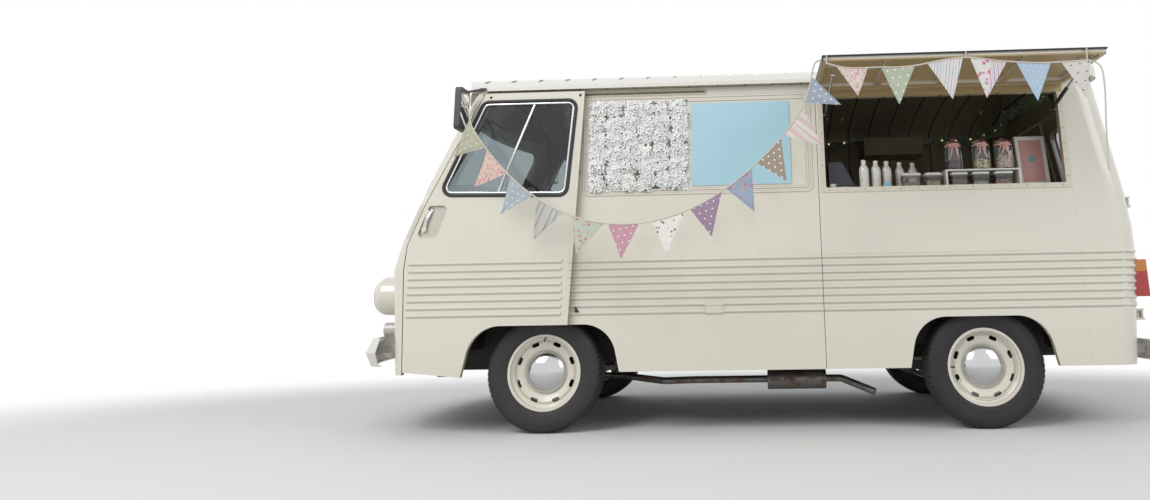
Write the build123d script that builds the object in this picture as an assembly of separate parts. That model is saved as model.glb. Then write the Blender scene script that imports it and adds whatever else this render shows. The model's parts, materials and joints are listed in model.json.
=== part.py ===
from build123d import *
import math
import os

# Ice cream truck: a forward-control, front-drive van of the 1960s and 1970s with a serving hatch.
# Millimetres. The nose points along -X, +Z is up, and the serving side is the van's left, at -Y.
# Every piece is drawn about the van's own centre plane and saved moved by centre_y, because the
# origin lies under the middle of the whole outline, with the open lid counted.

os.makedirs("parts", exist_ok=True)

# Overall sizes
wheelbase = 2500.0
front_overhang = 1220.0
rear_overhang = 1020.0
half_door = 1000.0
half_wall = 958.0
wall = 38.0
sill_z = 335.0
eaves_z = 1975.0
crown_z = 2200.0
front_x = -(front_overhang + wheelbase + rear_overhang) / 2
front_axle_x = front_x + front_overhang
rear_axle_x = front_axle_x + wheelbase
rear_x = rear_axle_x + rear_overhang
half_inner = half_wall - wall

# Clearances
seat_gap = 0.3
panel_gap = 5.0
running_gap = 5.0
pin_gap = 0.3

# Nose and tail seen from above
bumper_reach = 126.0
tail_bumper_reach = 100.0
nose_x = front_x + bumper_reach
tail_x = rear_x - tail_bumper_reach
bow_radius = 2290.0
nose_corner_reach = 50.0
nose_corner_depth = 75.0
tail_corner_radius = 150.0
bow_centre_x = nose_x + bow_radius

# Body sections. Columns: height, how far the nose and the tail lie back from nose_x and tail_x
body_sections = [
    (sill_z, 48.0, 65.0),
    (920.0, 0.0, 2.0),
    (1080.0, 42.0, 0.0),
    (1290.0, 125.0, 20.0),
    (eaves_z, 448.0, 138.0),
]

# Ribs pressed into the lower sides
rib_count = 8
rib_pitch = 42.0
rib_height = 24.0
rib_top_height = 8.0
rib_proud = 7.0
rib_lowest_z = 648.0
rib_root = 3.0

# Cab door
door_thickness = half_door - half_wall - rib_proud - running_gap
door_top_z = 1961.0
door_travel = 765.0
door_lip = 16.0
door_lip_proud = 5.0
door_front_edge = [(-1930.0, 350.0), (-1958.0, 920.0), (-1946.0, 1060.0), (-1856.0, 1290.0),
                   (-1526.0, door_top_z)]
door_foot_back = (-1600.0, 318.0)
door_back_foot_x = -1009.0
door_back_top_x = -921.0
door_overlap = 34.0
frame_lap = 8.0
door_window =[(-1772.0, 1352.0), (-1021.0, 1337.0), (-971.0, 1905.0), (-1530.0, 1905.0)]
door_window_radius = 46.0
handle_recess = [(-1834.0, 1288.0), (-1722.0, 1288.0), (-1787.0, 1110.0), (-1896.0, 1106.0)]
handle_recess_depth = 14.0
glass_thickness = 5.0
header_depth = 62.0

# Wheel arches. Columns: axle, middle of the arch behind its axle, half width at the foot, half width
# at the top, top height
arch_foot_z = 250.0
arch_radius = 190.0
front_arch = (front_axle_x, 0.0, 462.0, 388.0, 597.0)
rear_arch = (rear_axle_x, -19.0, 425.0, 350.0, 608.0)

# Room in the side wall for the tyre's shoulder as it steers: a pocket from inside, and the flange
# behind the door is cut away below a height
steer_skin = 3.0
steer_clearance = 12.0
steer_reach = 300.0
steer_flange_z = 620.0

# Serving hatch and its lid
seam_x = 457.0
tail_seam_x = 1912.0
seam_gap = 3.0
hatch_front_x = 500.0
hatch_back_x = 1878.0
hatch_sill_z = 1348.0
hatch_top_z = 1887.0
hatch_radius = 12.0
trim_width = 28.0
trim_proud = 5.0
lid_overlap = 45.0
lid_gap = 6.0
lid_thickness = 30.0
lid_skin = 3.0
lid_rim = 26.0
lid_hinge_z = 1938.0
lid_hinge_inset = 4.0
lid_drop = 10.0
lid_depth = 590.0
lid_open_deg = 90.0
hinge_radius = 7.0
hinge_pin_radius = 3.5
hinge_knuckles = 11
lid_inner_y = half_wall + trim_proud + lid_gap
lid_hinge_y = lid_inner_y + lid_hinge_inset
lid_reach = lid_hinge_y + lid_drop + lid_depth

# Gas struts of the lid
strut_jamb_y = 935.0
strut_jamb_z = 1787.0
strut_lid_run = 420.0
strut_lid_stand_off = 26.0
strut_body_length = 226.0
strut_body_radius = 11.0
strut_rod_radius = 5.0
strut_eye_radius = 9.0
strut_pin_radius = 4.0
strut_jamb_gap = 24.0

# Embossed double frame on each side, and what hangs in it on the serving side
frame_front_x = -930.0
frame_back_x = 425.0
frame_low_z = 1330.0
frame_top_z = 1922.0
frame_width = 9.0
frame_step = 24.0
frame_proud = 4.0
frame_radius = 40.0
flower_front_x = -884.0
flower_back_x = -320.0
flower_low_z = 1368.0
flower_top_z = 1884.0
flower_recess = 22.0
sign_front_x = -284.0
sign_back_x = 300.0
sign_low_z = 1378.0
sign_top_z = 1874.0
sign_thickness = 6.0
hung_thickness = half_door - door_thickness - running_gap - half_wall

# Filler cover
filler_front_x = -222.0
filler_width = 112.0
filler_low_z = 644.0
filler_height = 66.0
filler_proud = 6.0

# Windscreen and nose openings
screen_half_width = 800.0
screen_low_z = 1325.0
screen_top_z = 1905.0
screen_radius = 95.0
screen_inset = 12.0
grille_half_width = 520.0
grille_low_z = 655.0
grille_top_z = 905.0
grille_radius = 30.0
slat_count = 7
slat_height = 16.0
slat_depth = 24.0
lamp_y = 700.0
lamp_z = 777.0
lamp_radius = 114.0
lamp_lens_radius = 88.0
lamp_front_x = -2224.0
indicator_z = 578.0
indicator_radius = 41.0
indicator_front_x = -2174.0
nose_sheet = 30.0

# Bumpers
bumper_low_z = 381.0
bumper_top_z = 533.0
bumper_depth = 62.0
bumper_vee = 34.0
bumper_sheet = 5.0
bumper_half_angle = 22.0
bumper_end_radius = 150.0
bumper_end_angle = 50.0
tail_bumper_low_z = 345.0
tail_bumper_top_z = 458.0
tail_bumper_half = 900.0

# Rear doors
tail_opening_half = 800.0
tail_opening_low_z = 490.0
tail_opening_top_z = 1900.0
tail_door_gap = 6.0
tail_middle_gap = 9.0
tail_middle_bevel = 8.0
tail_hinge_x = tail_x + 12.0
tail_hinge_y = tail_opening_half - tail_door_gap / 2
tail_hinge_rows = [600.0, 1240.0]
tail_hinge_half = 20.0
tail_hinge_radius = 9.0
tail_pin_radius = 4.0
tail_ear_height = 10.0
tail_window_side = 105.0
tail_window_low_z = 1260.0
tail_window_top_z = 1800.0
tail_window_radius = 60.0
tail_lamp_y = 868.0
tail_lamp_low_z = 700.0
tail_lamp_top_z = 905.0
tail_lamp_width = 74.0
tail_lamp_proud = 24.0

# Roof
roof_half = 1006.0
roof_shoulder_y = 870.0
roof_shoulder_z = 2075.0
roof_lip = 22.0
roof_sheet = 30.0
roof_nose_back = 408.0
roof_tail_back = 122.0
roof_front_rise = 520.0
roof_back_rise = 260.0
groove_first_x = -1542.0
groove_pitch = 166.0
groove_count = 22
groove_width = 26.0
groove_depth = 8.0
groove_half = 955.0

# Floor and what lies under it
floor_z = 480.0
floor_thickness = 28.0
rail_y = 385.0
rail_width = 60.0
rail_height = 100.0
beam_height = 50.0
sill_width = 45.0
wheel_box_sheet = 8.0
front_box_half = 475.0
front_box_inner_y = 545.0
front_box_top_z = 712.0
rear_box_half = 430.0
rear_box_inner_y = 690.0
rear_box_top_z = 730.0
engine_front_x = -1960.0
engine_back_x = -1420.0
engine_half = 255.0
engine_room = 20.0

# Towing eyes under the front ends of the rails
towing_eye_x = -1930.0
towing_eye_z = 302.0
towing_eye_radius = 14.0
towing_eye_thickness = 16.0

# Wheels
tyre_radius = 330.0
tyre_width = 186.0
tyre_bead_radius = 205.0
tread_half = 66.0
rim_radius = 222.0
rim_half_width = 70.0
rim_sheet = 7.0
disc_offset = 22.0
vent_count = 8
vent_pitch_radius = 163.0
vent_length = 46.0
vent_width = 22.0
cap_radius = 120.0
cap_rise = 46.0
half_track = 815.0
kingpin_y = half_track - 65.0
stub_radius = 30.0
hub_bore_radius = stub_radius + pin_gap
stub_reach = disc_offset - 8.0
king_radius = 11.0
upright_half = 95.0
king_depth = 20.0
arm_half = 8.0

# Sliding door rails
rail_low_z = 1930.0
rail_top_z = 1964.0
rail_depth = 20.0
rail_front_x = -1534.0
rail_back_x = -190.0
rail_slot = 12.0
shoe_length = 60.0
shoe_head = 20.0
shoe_head_depth = 6.0
shoe_columns = [-1490.0, -1030.0]

# Inside
seat_y = 590.0
column_axis = (0.5524, 0.0, 0.8336)
steering_radius = 205.0
hub_half_height = 10.0
cover_sheet = 10.0
cover_top_z = 800.0
counter_depth = 340.0
counter_front_x = 330.0
counter_back_x = 1990.0
counter_top_thickness = 30.0
cabinet_depth = 450.0
cabinet_front_x = -300.0
bulkhead_x = -905.0
bulkhead_thickness = 20.0
box_front_x = 960.0
box_length = 460.0
box_low_z = 1805.0
box_height = 138.0
box_depth = 290.0

# Mirrors
mirror_reach = 1190.0
mirror_x = -1625.0
mirror_low_z = 1712.0
mirror_height = 250.0
mirror_width = 150.0
mirror_thickness = 34.0
stay_radius = 7.0

# Wipers
wiper_middles = [-330.0, 330.0]
wiper_length = 420.0
wiper_radius = 5.0
wiper_z = 1372.0
wiper_pivot_z = 1302.0

# What stands on the counter. Bottles: x, y. Tubs and jars: x, radius
ware_y = -850.0
bottle_radius = 29.0
bottle_columns = [(738.0, -860.0), (813.0, -830.0), (882.0, -800.0), (969.0, -745.0), (1054.0, -715.0)]
tub_columns = [(1012.0, 60.0), (1140.0, 55.0), (1291.0, 56.0), (1417.0, 57.0), (1548.0, 61.0)]
jar_columns = [(1274.0, 51.0), (1436.0, 53.0), (1570.0, 55.0)]
riser_front_x = 1208.0
riser_back_x = 1641.0
riser_top_z = 1445.0
riser_depth = 130.0
menu_x = 1755.0
menu_y = -800.0
menu_width = 180.0
menu_height = 312.0
menu_thickness = 20.0
menu_lean_deg = 8.0
menu_foot = 1.4

# Bunting. The side tape hangs in an upright plane, which runs outward from the mirror to the open lid
tape_radius = 4.0
arc_share = 0.45
flag_thickness = 2.0
flag_drop = 3.6
side_plane_x = -1600.0
side_plane_y = -1201.0
side_plane_slope = -0.1854
lid_tape_y = lid_reach + 11.0
side_start = [(mirror_x + mirror_thickness / 2, -1165.0, 1846.0), (-1578.0, -1165.0, 1846.0),
              (-1556.0, -1186.0, 1806.0), (-1534.0, -1210.0, 1724.0), (-1484.0, -1222.0, 1651.0)]
side_middle = [(-1425, 1573), (-1361, 1498), (-1285, 1420), (-1204, 1349), (-1117, 1285), (-1025, 1229),
               (-927, 1184), (-825, 1150), (-720, 1129), (-613, 1120), (-506, 1125), (-400, 1142),
               (-297, 1172), (-198, 1212), (-103, 1263), (-13, 1322), (72, 1389), (153, 1461), (228, 1539),
               (296, 1618), (350, 1704)]
side_end = [(382.0, -1568.0, 1790.0), (396.0, -1569.0, 1860.0), (408.0, -1560.0, 1912.0),
            (426.0, -1547.0, 1947.0), (hatch_front_x - lid_overlap - seat_gap, -1547.0, 1947.0)]
lid_route = [(468, 1922), (552, 1892), (650, 1887), (748, 1891), (846, 1886), (940, 1893), (1028, 1911),
             (1112, 1924), (1196, 1931), (1276, 1921), (1354, 1906), (1440, 1898), (1532, 1889),
             (1626, 1888), (1722, 1891), (1806, 1897), (1852, 1889), (1880, 1856), (1885, 1806),
             (1881, 1706), (1870, 1600), (1862, 1495), (1857, 1409), (1852, 1325)]
# Flags. Columns: where the top edge starts and ends on X, the tip on X and Z, and how far it is blown out
side_flag_table = [
    (-1545, -1433, -1625, 1542, 0), (-1423, -1296, -1486, 1360, 14), (-1277, -1137, -1322, 1202, 6),
    (-1113, -956, -1117, 1058, 20), (-911, -725, -880, 970, 4), (-707, -533, -628, 940, 16),
    (-463, -284, -382, 949, 8), (-258, -88, -145, 1041, 18), (-67, 71, 79, 1159, 5),
    (98, 226, 246, 1309, 15), (238, 342, 432, 1483, 6), (354, 395, 535, 1680, 45),
]
lid_flag_table = [
    (522, 689, 629, 1738, 0), (756, 932, 838, 1687, 0), (994, 1181, 1112, 1706, 0),
    (1217, 1404, 1285, 1709, 0), (1450, 1627, 1540, 1686, 0), (1678, 1830, 1782, 1692, 0),
]
# Eyes on the lid's outer edge and the loops of the bunting that hang on them
lid_eye_columns = [476.0, 1196.0, 1812.0]
lid_eye_rise = 17.0
lid_eye_pin_radius = 2.5
lid_eye_half = 8.0
loop_half = 3.0
loop_wall = 4.0

centre_y = (lid_reach - mirror_reach) / 2


# Helpers

def save(name, *solids):
    """Writes one node, moved from the van's centre plane to the frame's origin."""
    moved = [Pos(0, centre_y, 0) * solid for solid in solids]
    node = moved[0] if len(moved) == 1 else Compound(children=moved)
    export_step(node, f"parts/{name}.step")


def side_solid(sketch, inner_y, outer_y):
    """A sketch of X and Z made solid between two distances left of the centre plane."""
    return extrude(Plane.XZ.offset(inner_y) * sketch, outer_y - inner_y)


def right(shape):
    """The same piece on the right side."""
    return mirror(shape, about=Plane.XZ)


def block(x0, x1, y0, y1, z0, z1):
    """A box between named limits."""
    return Pos(x0, y0, z0) * Box(x1 - x0, y1 - y0, z1 - z0, align=(Align.MIN, Align.MIN, Align.MIN))


def bar(x, z, radius, y0, y1):
    """A round bar across the van, between two places on Y."""
    return Pos(x, (y0 + y1) / 2, z) * Rot(90, 0, 0) * Cylinder(radius, abs(y1 - y0))


def rod(start, end, radius):
    """A round rod between two points."""
    reach = Vector(*end) - Vector(*start)
    upright = (Align.CENTER, Align.CENTER, Align.MIN)
    return Plane(origin=start, z_dir=reach) * Cylinder(radius, reach.length, align=upright)


def on_side_plane(x, z):
    """A point of the upright plane that the side tape hangs in."""
    return x, side_plane_y + side_plane_slope * (x - side_plane_x), z


def cord(route, title):
    """A tape as a tube of straight runs joined by arcs. Prints the arcs' radii and the length."""
    points = [Vector(*point) for point in route]
    radii = []
    for before, here, after in zip(points, points[1:], points[2:]):
        come, go = here - before, after - here
        half_turn = math.radians(come.get_angle(go)) / 2
        radii.append(arc_share * min(come.length, go.length) / math.tan(half_turn))
    path = FilletPolyline(*points, radius=radii)
    tube = sweep(Plane(origin=points[0], z_dir=points[1] - points[0]) * Circle(tape_radius), path=path)
    plain_volume = math.pi * tape_radius ** 2 * path.length
    print(title, "radii", [round(radius) for radius in radii])
    print(title, "length", round(path.length, 1), "volume to plain volume", round(tube.volume / plain_volume, 4))
    return tube


def on_route(route, x):
    """The point of a route at a place on X."""
    for low, high in zip(route, route[1:]):
        if low[0] <= x <= high[0]:
            share = (x - low[0]) / (high[0] - low[0])
            return tuple(a + share * (b - a) for a, b in zip(low, high))
    raise ValueError("the route doesn't reach this place")


def flag(route, start_x, end_x, tip):
    """A pennant between two places of a tape's route and its tip."""
    start, end, tip = Vector(*on_route(route, start_x)), Vector(*on_route(route, end_x)), Vector(*tip)
    along = (end - start).normalized()
    drop = (tip - start - along * along.dot(tip - start)).normalized() * flag_drop
    face = make_face(Polyline(start + drop, end + drop, tip, close=True))
    return extrude(face, flag_thickness / 2, both=True)


def turned(profile):
    """A round vessel about Z, from a half profile of radius and height."""
    return revolve(Plane.XZ * make_face(Polyline(*profile, close=True)), Axis.Z)


def outline(points, radius=0.0):
    """A closed sketch through the points, with its corners rounded."""
    face = make_face(Polyline(*points, close=True))
    return fillet(face.vertices(), radius) if radius else face


def rounded(x0, x1, z0, z1, radius):
    """A rounded rectangle between named limits."""
    return outline([(x0, z0), (x1, z0), (x1, z1), (x0, z1)], radius)


def plan(height, nose_back, tail_back, half_width, inset=0.0):
    """The body's outline at one height, seen from above."""
    half = half_width - inset
    radius = bow_radius - inset
    bow_y = half - nose_corner_reach
    bow_x = bow_centre_x + nose_back
    bow_end_x = bow_x - math.sqrt(radius ** 2 - bow_y ** 2)
    corner_x = bow_end_x + nose_corner_depth
    back_x = tail_x - tail_back - inset
    corner = tail_corner_radius - inset
    bow = ThreePointArc((bow_end_x, bow_y), (bow_x - radius, 0), (bow_end_x, -bow_y))
    mid = (bow_end_x + nose_corner_depth * 0.34, bow_y + nose_corner_reach * 0.72)
    left_nose = ThreePointArc((bow_end_x, -bow_y), (mid[0], -mid[1]), (corner_x, -half))
    right_nose = ThreePointArc((corner_x, half), mid, (bow_end_x, bow_y))
    left_side = Line((corner_x, -half), (back_x - corner, -half))
    right_side = Line((back_x - corner, half), (corner_x, half))
    knee = corner * (1 - math.sqrt(0.5))
    left_tail = ThreePointArc((back_x - corner, -half), (back_x - knee, -half + knee), (back_x, -half + corner))
    right_tail = ThreePointArc((back_x, half - corner), (back_x - knee, half - knee), (back_x - corner, half))
    back = Line((back_x, -half + corner), (back_x, half - corner))
    edges = [bow, left_nose, left_side, left_tail, back, right_tail, right_side, right_nose]
    return Pos(0, 0, height) * make_face(edges)


def body(half_width, inset=0.0):
    """The closed body between the sills and the eaves."""
    faces = [plan(z, nose, tail, half_width, inset) for z, nose, tail in body_sections]
    return loft(faces, ruled=True)


def lies_back(height, column):
    """How far the nose (1) or the tail (2) lies back at a height."""
    for low, high in zip(body_sections, body_sections[1:]):
        if height <= high[0]:
            share = (height - low[0]) / (high[0] - low[0])
            return low[column] + share * (high[column] - low[column])
    return body_sections[-1][column]


def nose_surface_x(y, height):
    """Where the nose's outer face lies on X."""
    return bow_centre_x + lies_back(height, 1) - math.sqrt(bow_radius ** 2 - y ** 2)


def bow_sector(height, thickness, half_width, outer_inset, inner_inset, outer_extra=0.0):
    """A strip that follows the nose's bow, from one height up."""
    back = lies_back(height, 1)
    centre = bow_centre_x + back + outer_extra
    ring = extrude(Pos(centre, 0, height) * (Circle(bow_radius - outer_inset) - Circle(bow_radius - inner_inset)),
                   thickness)
    return ring & block(front_x - 50, nose_x + 700, -half_width, half_width, height - 1, height + thickness + 1)


def arch(axle_x, shift, foot_half, top_half, top_z, grow=0.0):
    """The sketch of a wheel arch."""
    x = axle_x + shift
    points = [(x - foot_half - grow, arch_foot_z), (x + foot_half + grow, arch_foot_z),
              (x + top_half + grow, top_z + grow), (x - top_half - grow, top_z + grow)]
    face = outline(points)
    return fillet(face.vertices().sort_by(Axis.Y)[2:], arch_radius)


def door_back_x(height):
    """The slanted back edge of the cab door."""
    share = (height - sill_z) / (door_top_z - sill_z)
    return door_back_foot_x + share * (door_back_top_x - door_back_foot_x)


def ahead_of_door(gap):
    """The sketch of all that lies ahead of the cab door's front edge."""
    edge = [(x - gap, z) for x, z in door_front_edge]
    top = (edge[-1][0] + 40, eaves_z + 5)
    return outline([(front_x - 60, sill_z - 30), (edge[0][0], sill_z - 30)] + edge
                   + [top, (front_x - 60, eaves_z + 5)])


def rib_bars(x0, x1, base_y):
    """The pressed ribs of a flat side, each a low trapezium."""
    bars = []
    for row in range(rib_count):
        z = rib_lowest_z + row * rib_pitch
        slope = (rib_height - rib_top_height) / 2
        low, high = base_y - 1, base_y + rib_proud
        section = Polyline((-low, z), (-base_y, z), (-high, z + slope), (-high, z + slope + rib_top_height),
                           (-base_y, z + rib_height), (-low, z + rib_height), close=True)
        face = Plane.YZ.offset(x0) * make_face(section)
        bars.append(extrude(face, x1 - x0))
    return bars


# Body shell

outer_nose = body(half_door)
inner_nose = body(half_door, nose_sheet)
outer_body = body(half_wall)
inner_body = body(half_wall, wall)

nose_shell = (outer_nose - inner_nose) & side_solid(ahead_of_door(panel_gap), -half_door - 20, half_door + 20)


def through_nose(sketch):
    """A sketch of Y and Z cut through the nose alone."""
    return extrude(Plane.YZ.offset(front_x - 80) * sketch, -front_x - 1150)


screen_sketch = rounded(-screen_half_width, screen_half_width, screen_low_z, screen_top_z, screen_radius)
grille_sketch = rounded(-grille_half_width, grille_half_width, grille_low_z, grille_top_z, grille_radius)
screen_cut = through_nose(screen_sketch)
grille_cut = through_nose(grille_sketch)
split_z = body_sections[3][0]
below = block(front_x - 80, rear_x, -1200, 1200, 0, split_z)
above = block(front_x - 80, rear_x, -1200, 1200, split_z + seat_gap, eaves_z - seat_gap)

front_panel = (nose_shell & below) - grille_cut
save("front_panel", front_panel)

# Windscreen surround with the door frames and headers
def frame_ring():
    """The frame that the cab door closes on, on the left side."""
    front = [(x + door_overlap, z) for x, z in door_front_edge]
    front[-1] = (front[-1][0], door_top_z - header_depth)
    inner_edge = [(front[0][0], floor_z)] + front[1:]
    outer_edge = [(x - panel_gap - frame_lap, z) for x, z in door_front_edge]
    outer_edge[-1] = (outer_edge[-1][0] + 6, eaves_z - seat_gap)
    back_top = door_back_x(eaves_z) - door_overlap
    back_header = door_back_x(door_top_z - header_depth) - door_overlap
    points = ([(outer_edge[0][0], floor_z + seat_gap)] + outer_edge[1:]
              + [(back_top - seat_gap, eaves_z - seat_gap), (back_header - seat_gap, door_top_z - header_depth)]
              + inner_edge[::-1][:-1] + [(inner_edge[0][0], floor_z + seat_gap)])
    return side_solid(outline(points), half_inner, half_wall)


def rail_space(grow):
    """The room that the sliding door's rail takes in the frame and the wall."""
    return block(rail_front_x - grow, rail_back_x + grow, -half_wall - 1, -half_wall + rail_depth + grow,
                 rail_low_z - grow, rail_top_z + grow)


low_nose_room = (outer_nose - body(half_door, nose_sheet + seat_gap)) \
    & block(front_x - 80, rear_x, -1200, 1200, 0, split_z + seat_gap)
ring_left = frame_ring() - rail_space(seat_gap) - low_nose_room
cab_frame = (nose_shell & above) - screen_cut + ring_left + right(ring_left)
save("cab_frame", cab_frame)

screen_glass = (body(half_door, screen_inset) - body(half_door, screen_inset + glass_thickness))
screen_edge = through_nose(rounded(-screen_half_width + seat_gap, screen_half_width - seat_gap,
                                   screen_low_z + seat_gap, screen_top_z - seat_gap, screen_radius))
save("windscreen", screen_glass & screen_edge)

# Side walls
wall_sketch = outline([(door_back_x(sill_z) - door_overlap, sill_z), (tail_seam_x - seat_gap, sill_z),
                       (tail_seam_x - seat_gap, eaves_z - seat_gap),
                       (door_back_x(eaves_z) - door_overlap, eaves_z - seat_gap)])
frame_bars = []
for step in (0, 1):
    inset = step * frame_step
    outer = rounded(frame_front_x + inset, frame_back_x - inset, frame_low_z + inset, frame_top_z - inset,
                    frame_radius - inset / 2)
    inner = rounded(frame_front_x + inset + frame_width, frame_back_x - inset - frame_width,
                    frame_low_z + inset + frame_width, frame_top_z - inset - frame_width,
                    frame_radius - inset / 2 - frame_width / 2)
    frame_bars.append(side_solid(outer - inner, half_wall - 1, half_wall + frame_proud))

front_arch_cut = side_solid(arch(*front_arch), half_inner - 200, half_door + 20)
rear_arch_cut = side_solid(arch(*rear_arch), half_inner - 200, half_door + 20)
seam_cut = block(seam_x - seam_gap / 2, seam_x + seam_gap / 2, -half_door, -half_inner + 1, 0, eaves_z)
plain_wall = side_solid(wall_sketch, half_inner, half_wall)
rib_start_x = door_back_x(rib_lowest_z) - door_overlap + 6
plain_wall = plain_wall + rib_bars(rib_start_x, tail_seam_x - seat_gap, half_wall) + frame_bars
plain_wall = plain_wall - front_arch_cut - rear_arch_cut - rail_space(seat_gap)
steer_top_z = 2 * tyre_radius + steer_clearance
steer_room = block(door_back_foot_x, front_axle_x + steer_reach, -half_wall + steer_skin, -half_inner + 1,
                   arch_foot_z, steer_top_z)
flange_room = block(door_back_foot_x - door_overlap - running_gap, door_back_foot_x, -half_door, -half_inner + 1,
                    arch_foot_z, steer_flange_z)
plain_wall = plain_wall - steer_room - flange_room
filler_cover = side_solid(rounded(filler_front_x, filler_front_x + filler_width, filler_low_z,
                                  filler_low_z + filler_height, 14), half_wall - 1, half_wall + rib_proud)
hatch_sketch = rounded(hatch_front_x, hatch_back_x, hatch_sill_z, hatch_top_z, hatch_radius)
hatch_cut = side_solid(hatch_sketch, half_inner - 100, half_door + 20)
flower_room = block(flower_front_x - running_gap, flower_back_x + running_gap, -half_wall - 1,
                    -half_wall + flower_recess, flower_low_z - 2, flower_top_z + 2)
left_wall = plain_wall + filler_cover - hatch_cut - seam_cut - flower_room
right_wall = right(plain_wall - seam_cut)
save("side_wall_left", left_wall)
save("side_wall_right", right_wall)

# Flower panel let into the wall, and the blank sign beside it
flower_panel = block(flower_front_x, flower_back_x, -half_wall - hung_thickness, -half_wall + flower_recess,
                     flower_low_z, flower_top_z)
save("flower_panel", flower_panel)
sign_panel = block(sign_front_x, sign_back_x, -half_wall - sign_thickness, -half_wall, sign_low_z, sign_top_z)
save("sign_panel", sign_panel)

# Rear corners with the rear door opening
tail_box = block(tail_seam_x, rear_x, -half_door, half_door, sill_z, eaves_z - seat_gap)
tail_opening = outline([(-tail_opening_half, tail_opening_low_z), (tail_opening_half, tail_opening_low_z),
                        (tail_opening_half, tail_opening_top_z), (-tail_opening_half, tail_opening_top_z)])
tail_cut = extrude(Plane.YZ.offset(tail_x - 400) * tail_opening, 600)
tail_shell = (outer_body - inner_body) & tail_box
tail_rib_rings = []
for row in range(rib_count):
    z = rib_lowest_z + row * rib_pitch
    slope = (rib_height - rib_top_height) / 2
    nose_back, tail_back = lies_back(z + rib_height / 2, 1), lies_back(z + rib_height / 2, 2)
    root_drop = rib_root * slope / rib_proud
    levels = [(z - root_drop, rib_root), (z + slope, -rib_proud), (z + slope + rib_top_height, -rib_proud),
              (z + rib_height + root_drop, rib_root)]
    rib = loft([plan(level, nose_back, tail_back, half_wall, grow) for level, grow in levels], ruled=True)
    tail_rib_rings.append(rib)
tail_frame = tail_shell
for rib in tail_rib_rings:
    tail_frame = tail_frame + ((rib - inner_body) & tail_box)
tail_frame = tail_frame - tail_cut
for z in tail_hinge_rows:
    skin_x = tail_x - lies_back(z, 2)
    pin = Pos(tail_hinge_x, -tail_hinge_y, z) * Cylinder(tail_pin_radius, 2 * (tail_hinge_half + tail_ear_height))
    tail_frame = tail_frame + pin + right(pin)
    for end in (-1, 1):
        low_z = z + end * (tail_hinge_half + 1 + tail_ear_height / 2) - tail_ear_height / 2
        ear = block(skin_x - wall / 2, tail_hinge_x, -tail_hinge_y - 36, -tail_hinge_y - 6, low_z,
                    low_z + tail_ear_height)
        knob = Pos(tail_hinge_x, -tail_hinge_y, low_z + tail_ear_height / 2) \
            * Cylinder(tail_hinge_radius, tail_ear_height)
        tail_frame = tail_frame + ear + knob + right(ear) + right(knob)
save("tail_frame", tail_frame)

# Roof
def roof_block(inset):
    """The domed roof above the eaves, inset all round."""
    lip_z = eaves_z + roof_lip - inset
    shoulder_y, shoulder_z = roof_shoulder_y - inset * 0.4, roof_shoulder_z - inset
    crown = ThreePointArc((-shoulder_y, shoulder_z), (0, crown_z - inset), (shoulder_y, shoulder_z))
    half = roof_half - inset
    fall = crown % 1
    side = TangentArc((shoulder_y, shoulder_z), (half, lip_z), tangent=fall)
    other = mirror(side, about=Plane.YZ)
    foot = Polyline((half, lip_z), (half, eaves_z), (-half, eaves_z), (-half, lip_z))
    dome = extrude(Plane.YZ.offset(front_x) * make_face([crown, side, other, foot]), rear_x - front_x)
    nose_front = nose_x + roof_nose_back + inset
    back = tail_x - roof_tail_back - inset
    nose_arc = ThreePointArc((nose_front, lip_z), (nose_front + roof_front_rise * 0.33, crown_z - inset - 62),
                             (nose_front + roof_front_rise, crown_z - inset))
    tail_arc = ThreePointArc((back - roof_back_rise, crown_z - inset),
                             (back - roof_back_rise * 0.25, crown_z - inset - 72), (back, lip_z))
    edge = Polyline((back, lip_z), (back, eaves_z), (nose_front, eaves_z), (nose_front, lip_z))
    top = Line((nose_front + roof_front_rise, crown_z - inset), (back - roof_back_rise, crown_z - inset))
    profile = side_solid(make_face([nose_arc, top, tail_arc, edge]), -half - 5, half + 5)
    above_eaves = extrude(plan(eaves_z, roof_nose_back, roof_tail_back, roof_half, inset), crown_z - eaves_z + 5)
    return dome & profile & above_eaves


roof_outer = roof_block(0.0)
roof_inner = roof_block(roof_sheet)
groove_skin = roof_outer - roof_block(groove_depth)
grooves = []
for index in range(groove_count):
    x = groove_first_x + index * groove_pitch
    grooves.append(block(x - groove_width / 2, x + groove_width / 2, -groove_half, groove_half,
                         eaves_z + roof_lip + 16, crown_z + 10))
roof = roof_outer - roof_inner
for groove in grooves:
    roof = roof - (groove_skin & groove)
save("roof", roof)


# Serving hatch: trim, hinge and lid
outer_trim = rounded(hatch_front_x - trim_width, hatch_back_x + trim_width, hatch_sill_z - trim_width,
                     hatch_top_z + trim_width, hatch_radius)
trim = side_solid(outer_trim - hatch_sketch, half_wall + seat_gap, half_wall + trim_proud)
lid_front_x = hatch_front_x - lid_overlap
lid_back_x = hatch_back_x + lid_overlap
knuckle_length = (lid_back_x - lid_front_x) / hinge_knuckles
leaf_reach = lid_hinge_z - (hatch_top_z + trim_width)


def hinge_knuckle(index, leaf):
    """One knuckle of the lid's long hinge with its leaf."""
    x0 = lid_front_x + index * knuckle_length + 0.5
    x1 = x0 + knuckle_length - 1.0
    tube = Pos((x0 + x1) / 2, -lid_hinge_y, lid_hinge_z) * Rot(0, 90, 0) * Cylinder(hinge_radius, x1 - x0)
    return tube + leaf(x0, x1)


def wall_leaf(x0, x1):
    return block(x0, x1, -lid_hinge_y, -half_wall - seat_gap, lid_hinge_z - 2, lid_hinge_z + 2) \
        + block(x0, x1, -half_wall - 3, -half_wall - seat_gap, lid_hinge_z - leaf_reach, lid_hinge_z + 2)


def lid_leaf(x0, x1):
    return block(x0, x1, -lid_hinge_y - 2, -lid_hinge_y + 2, lid_hinge_z - lid_drop - 2, lid_hinge_z)


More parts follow.
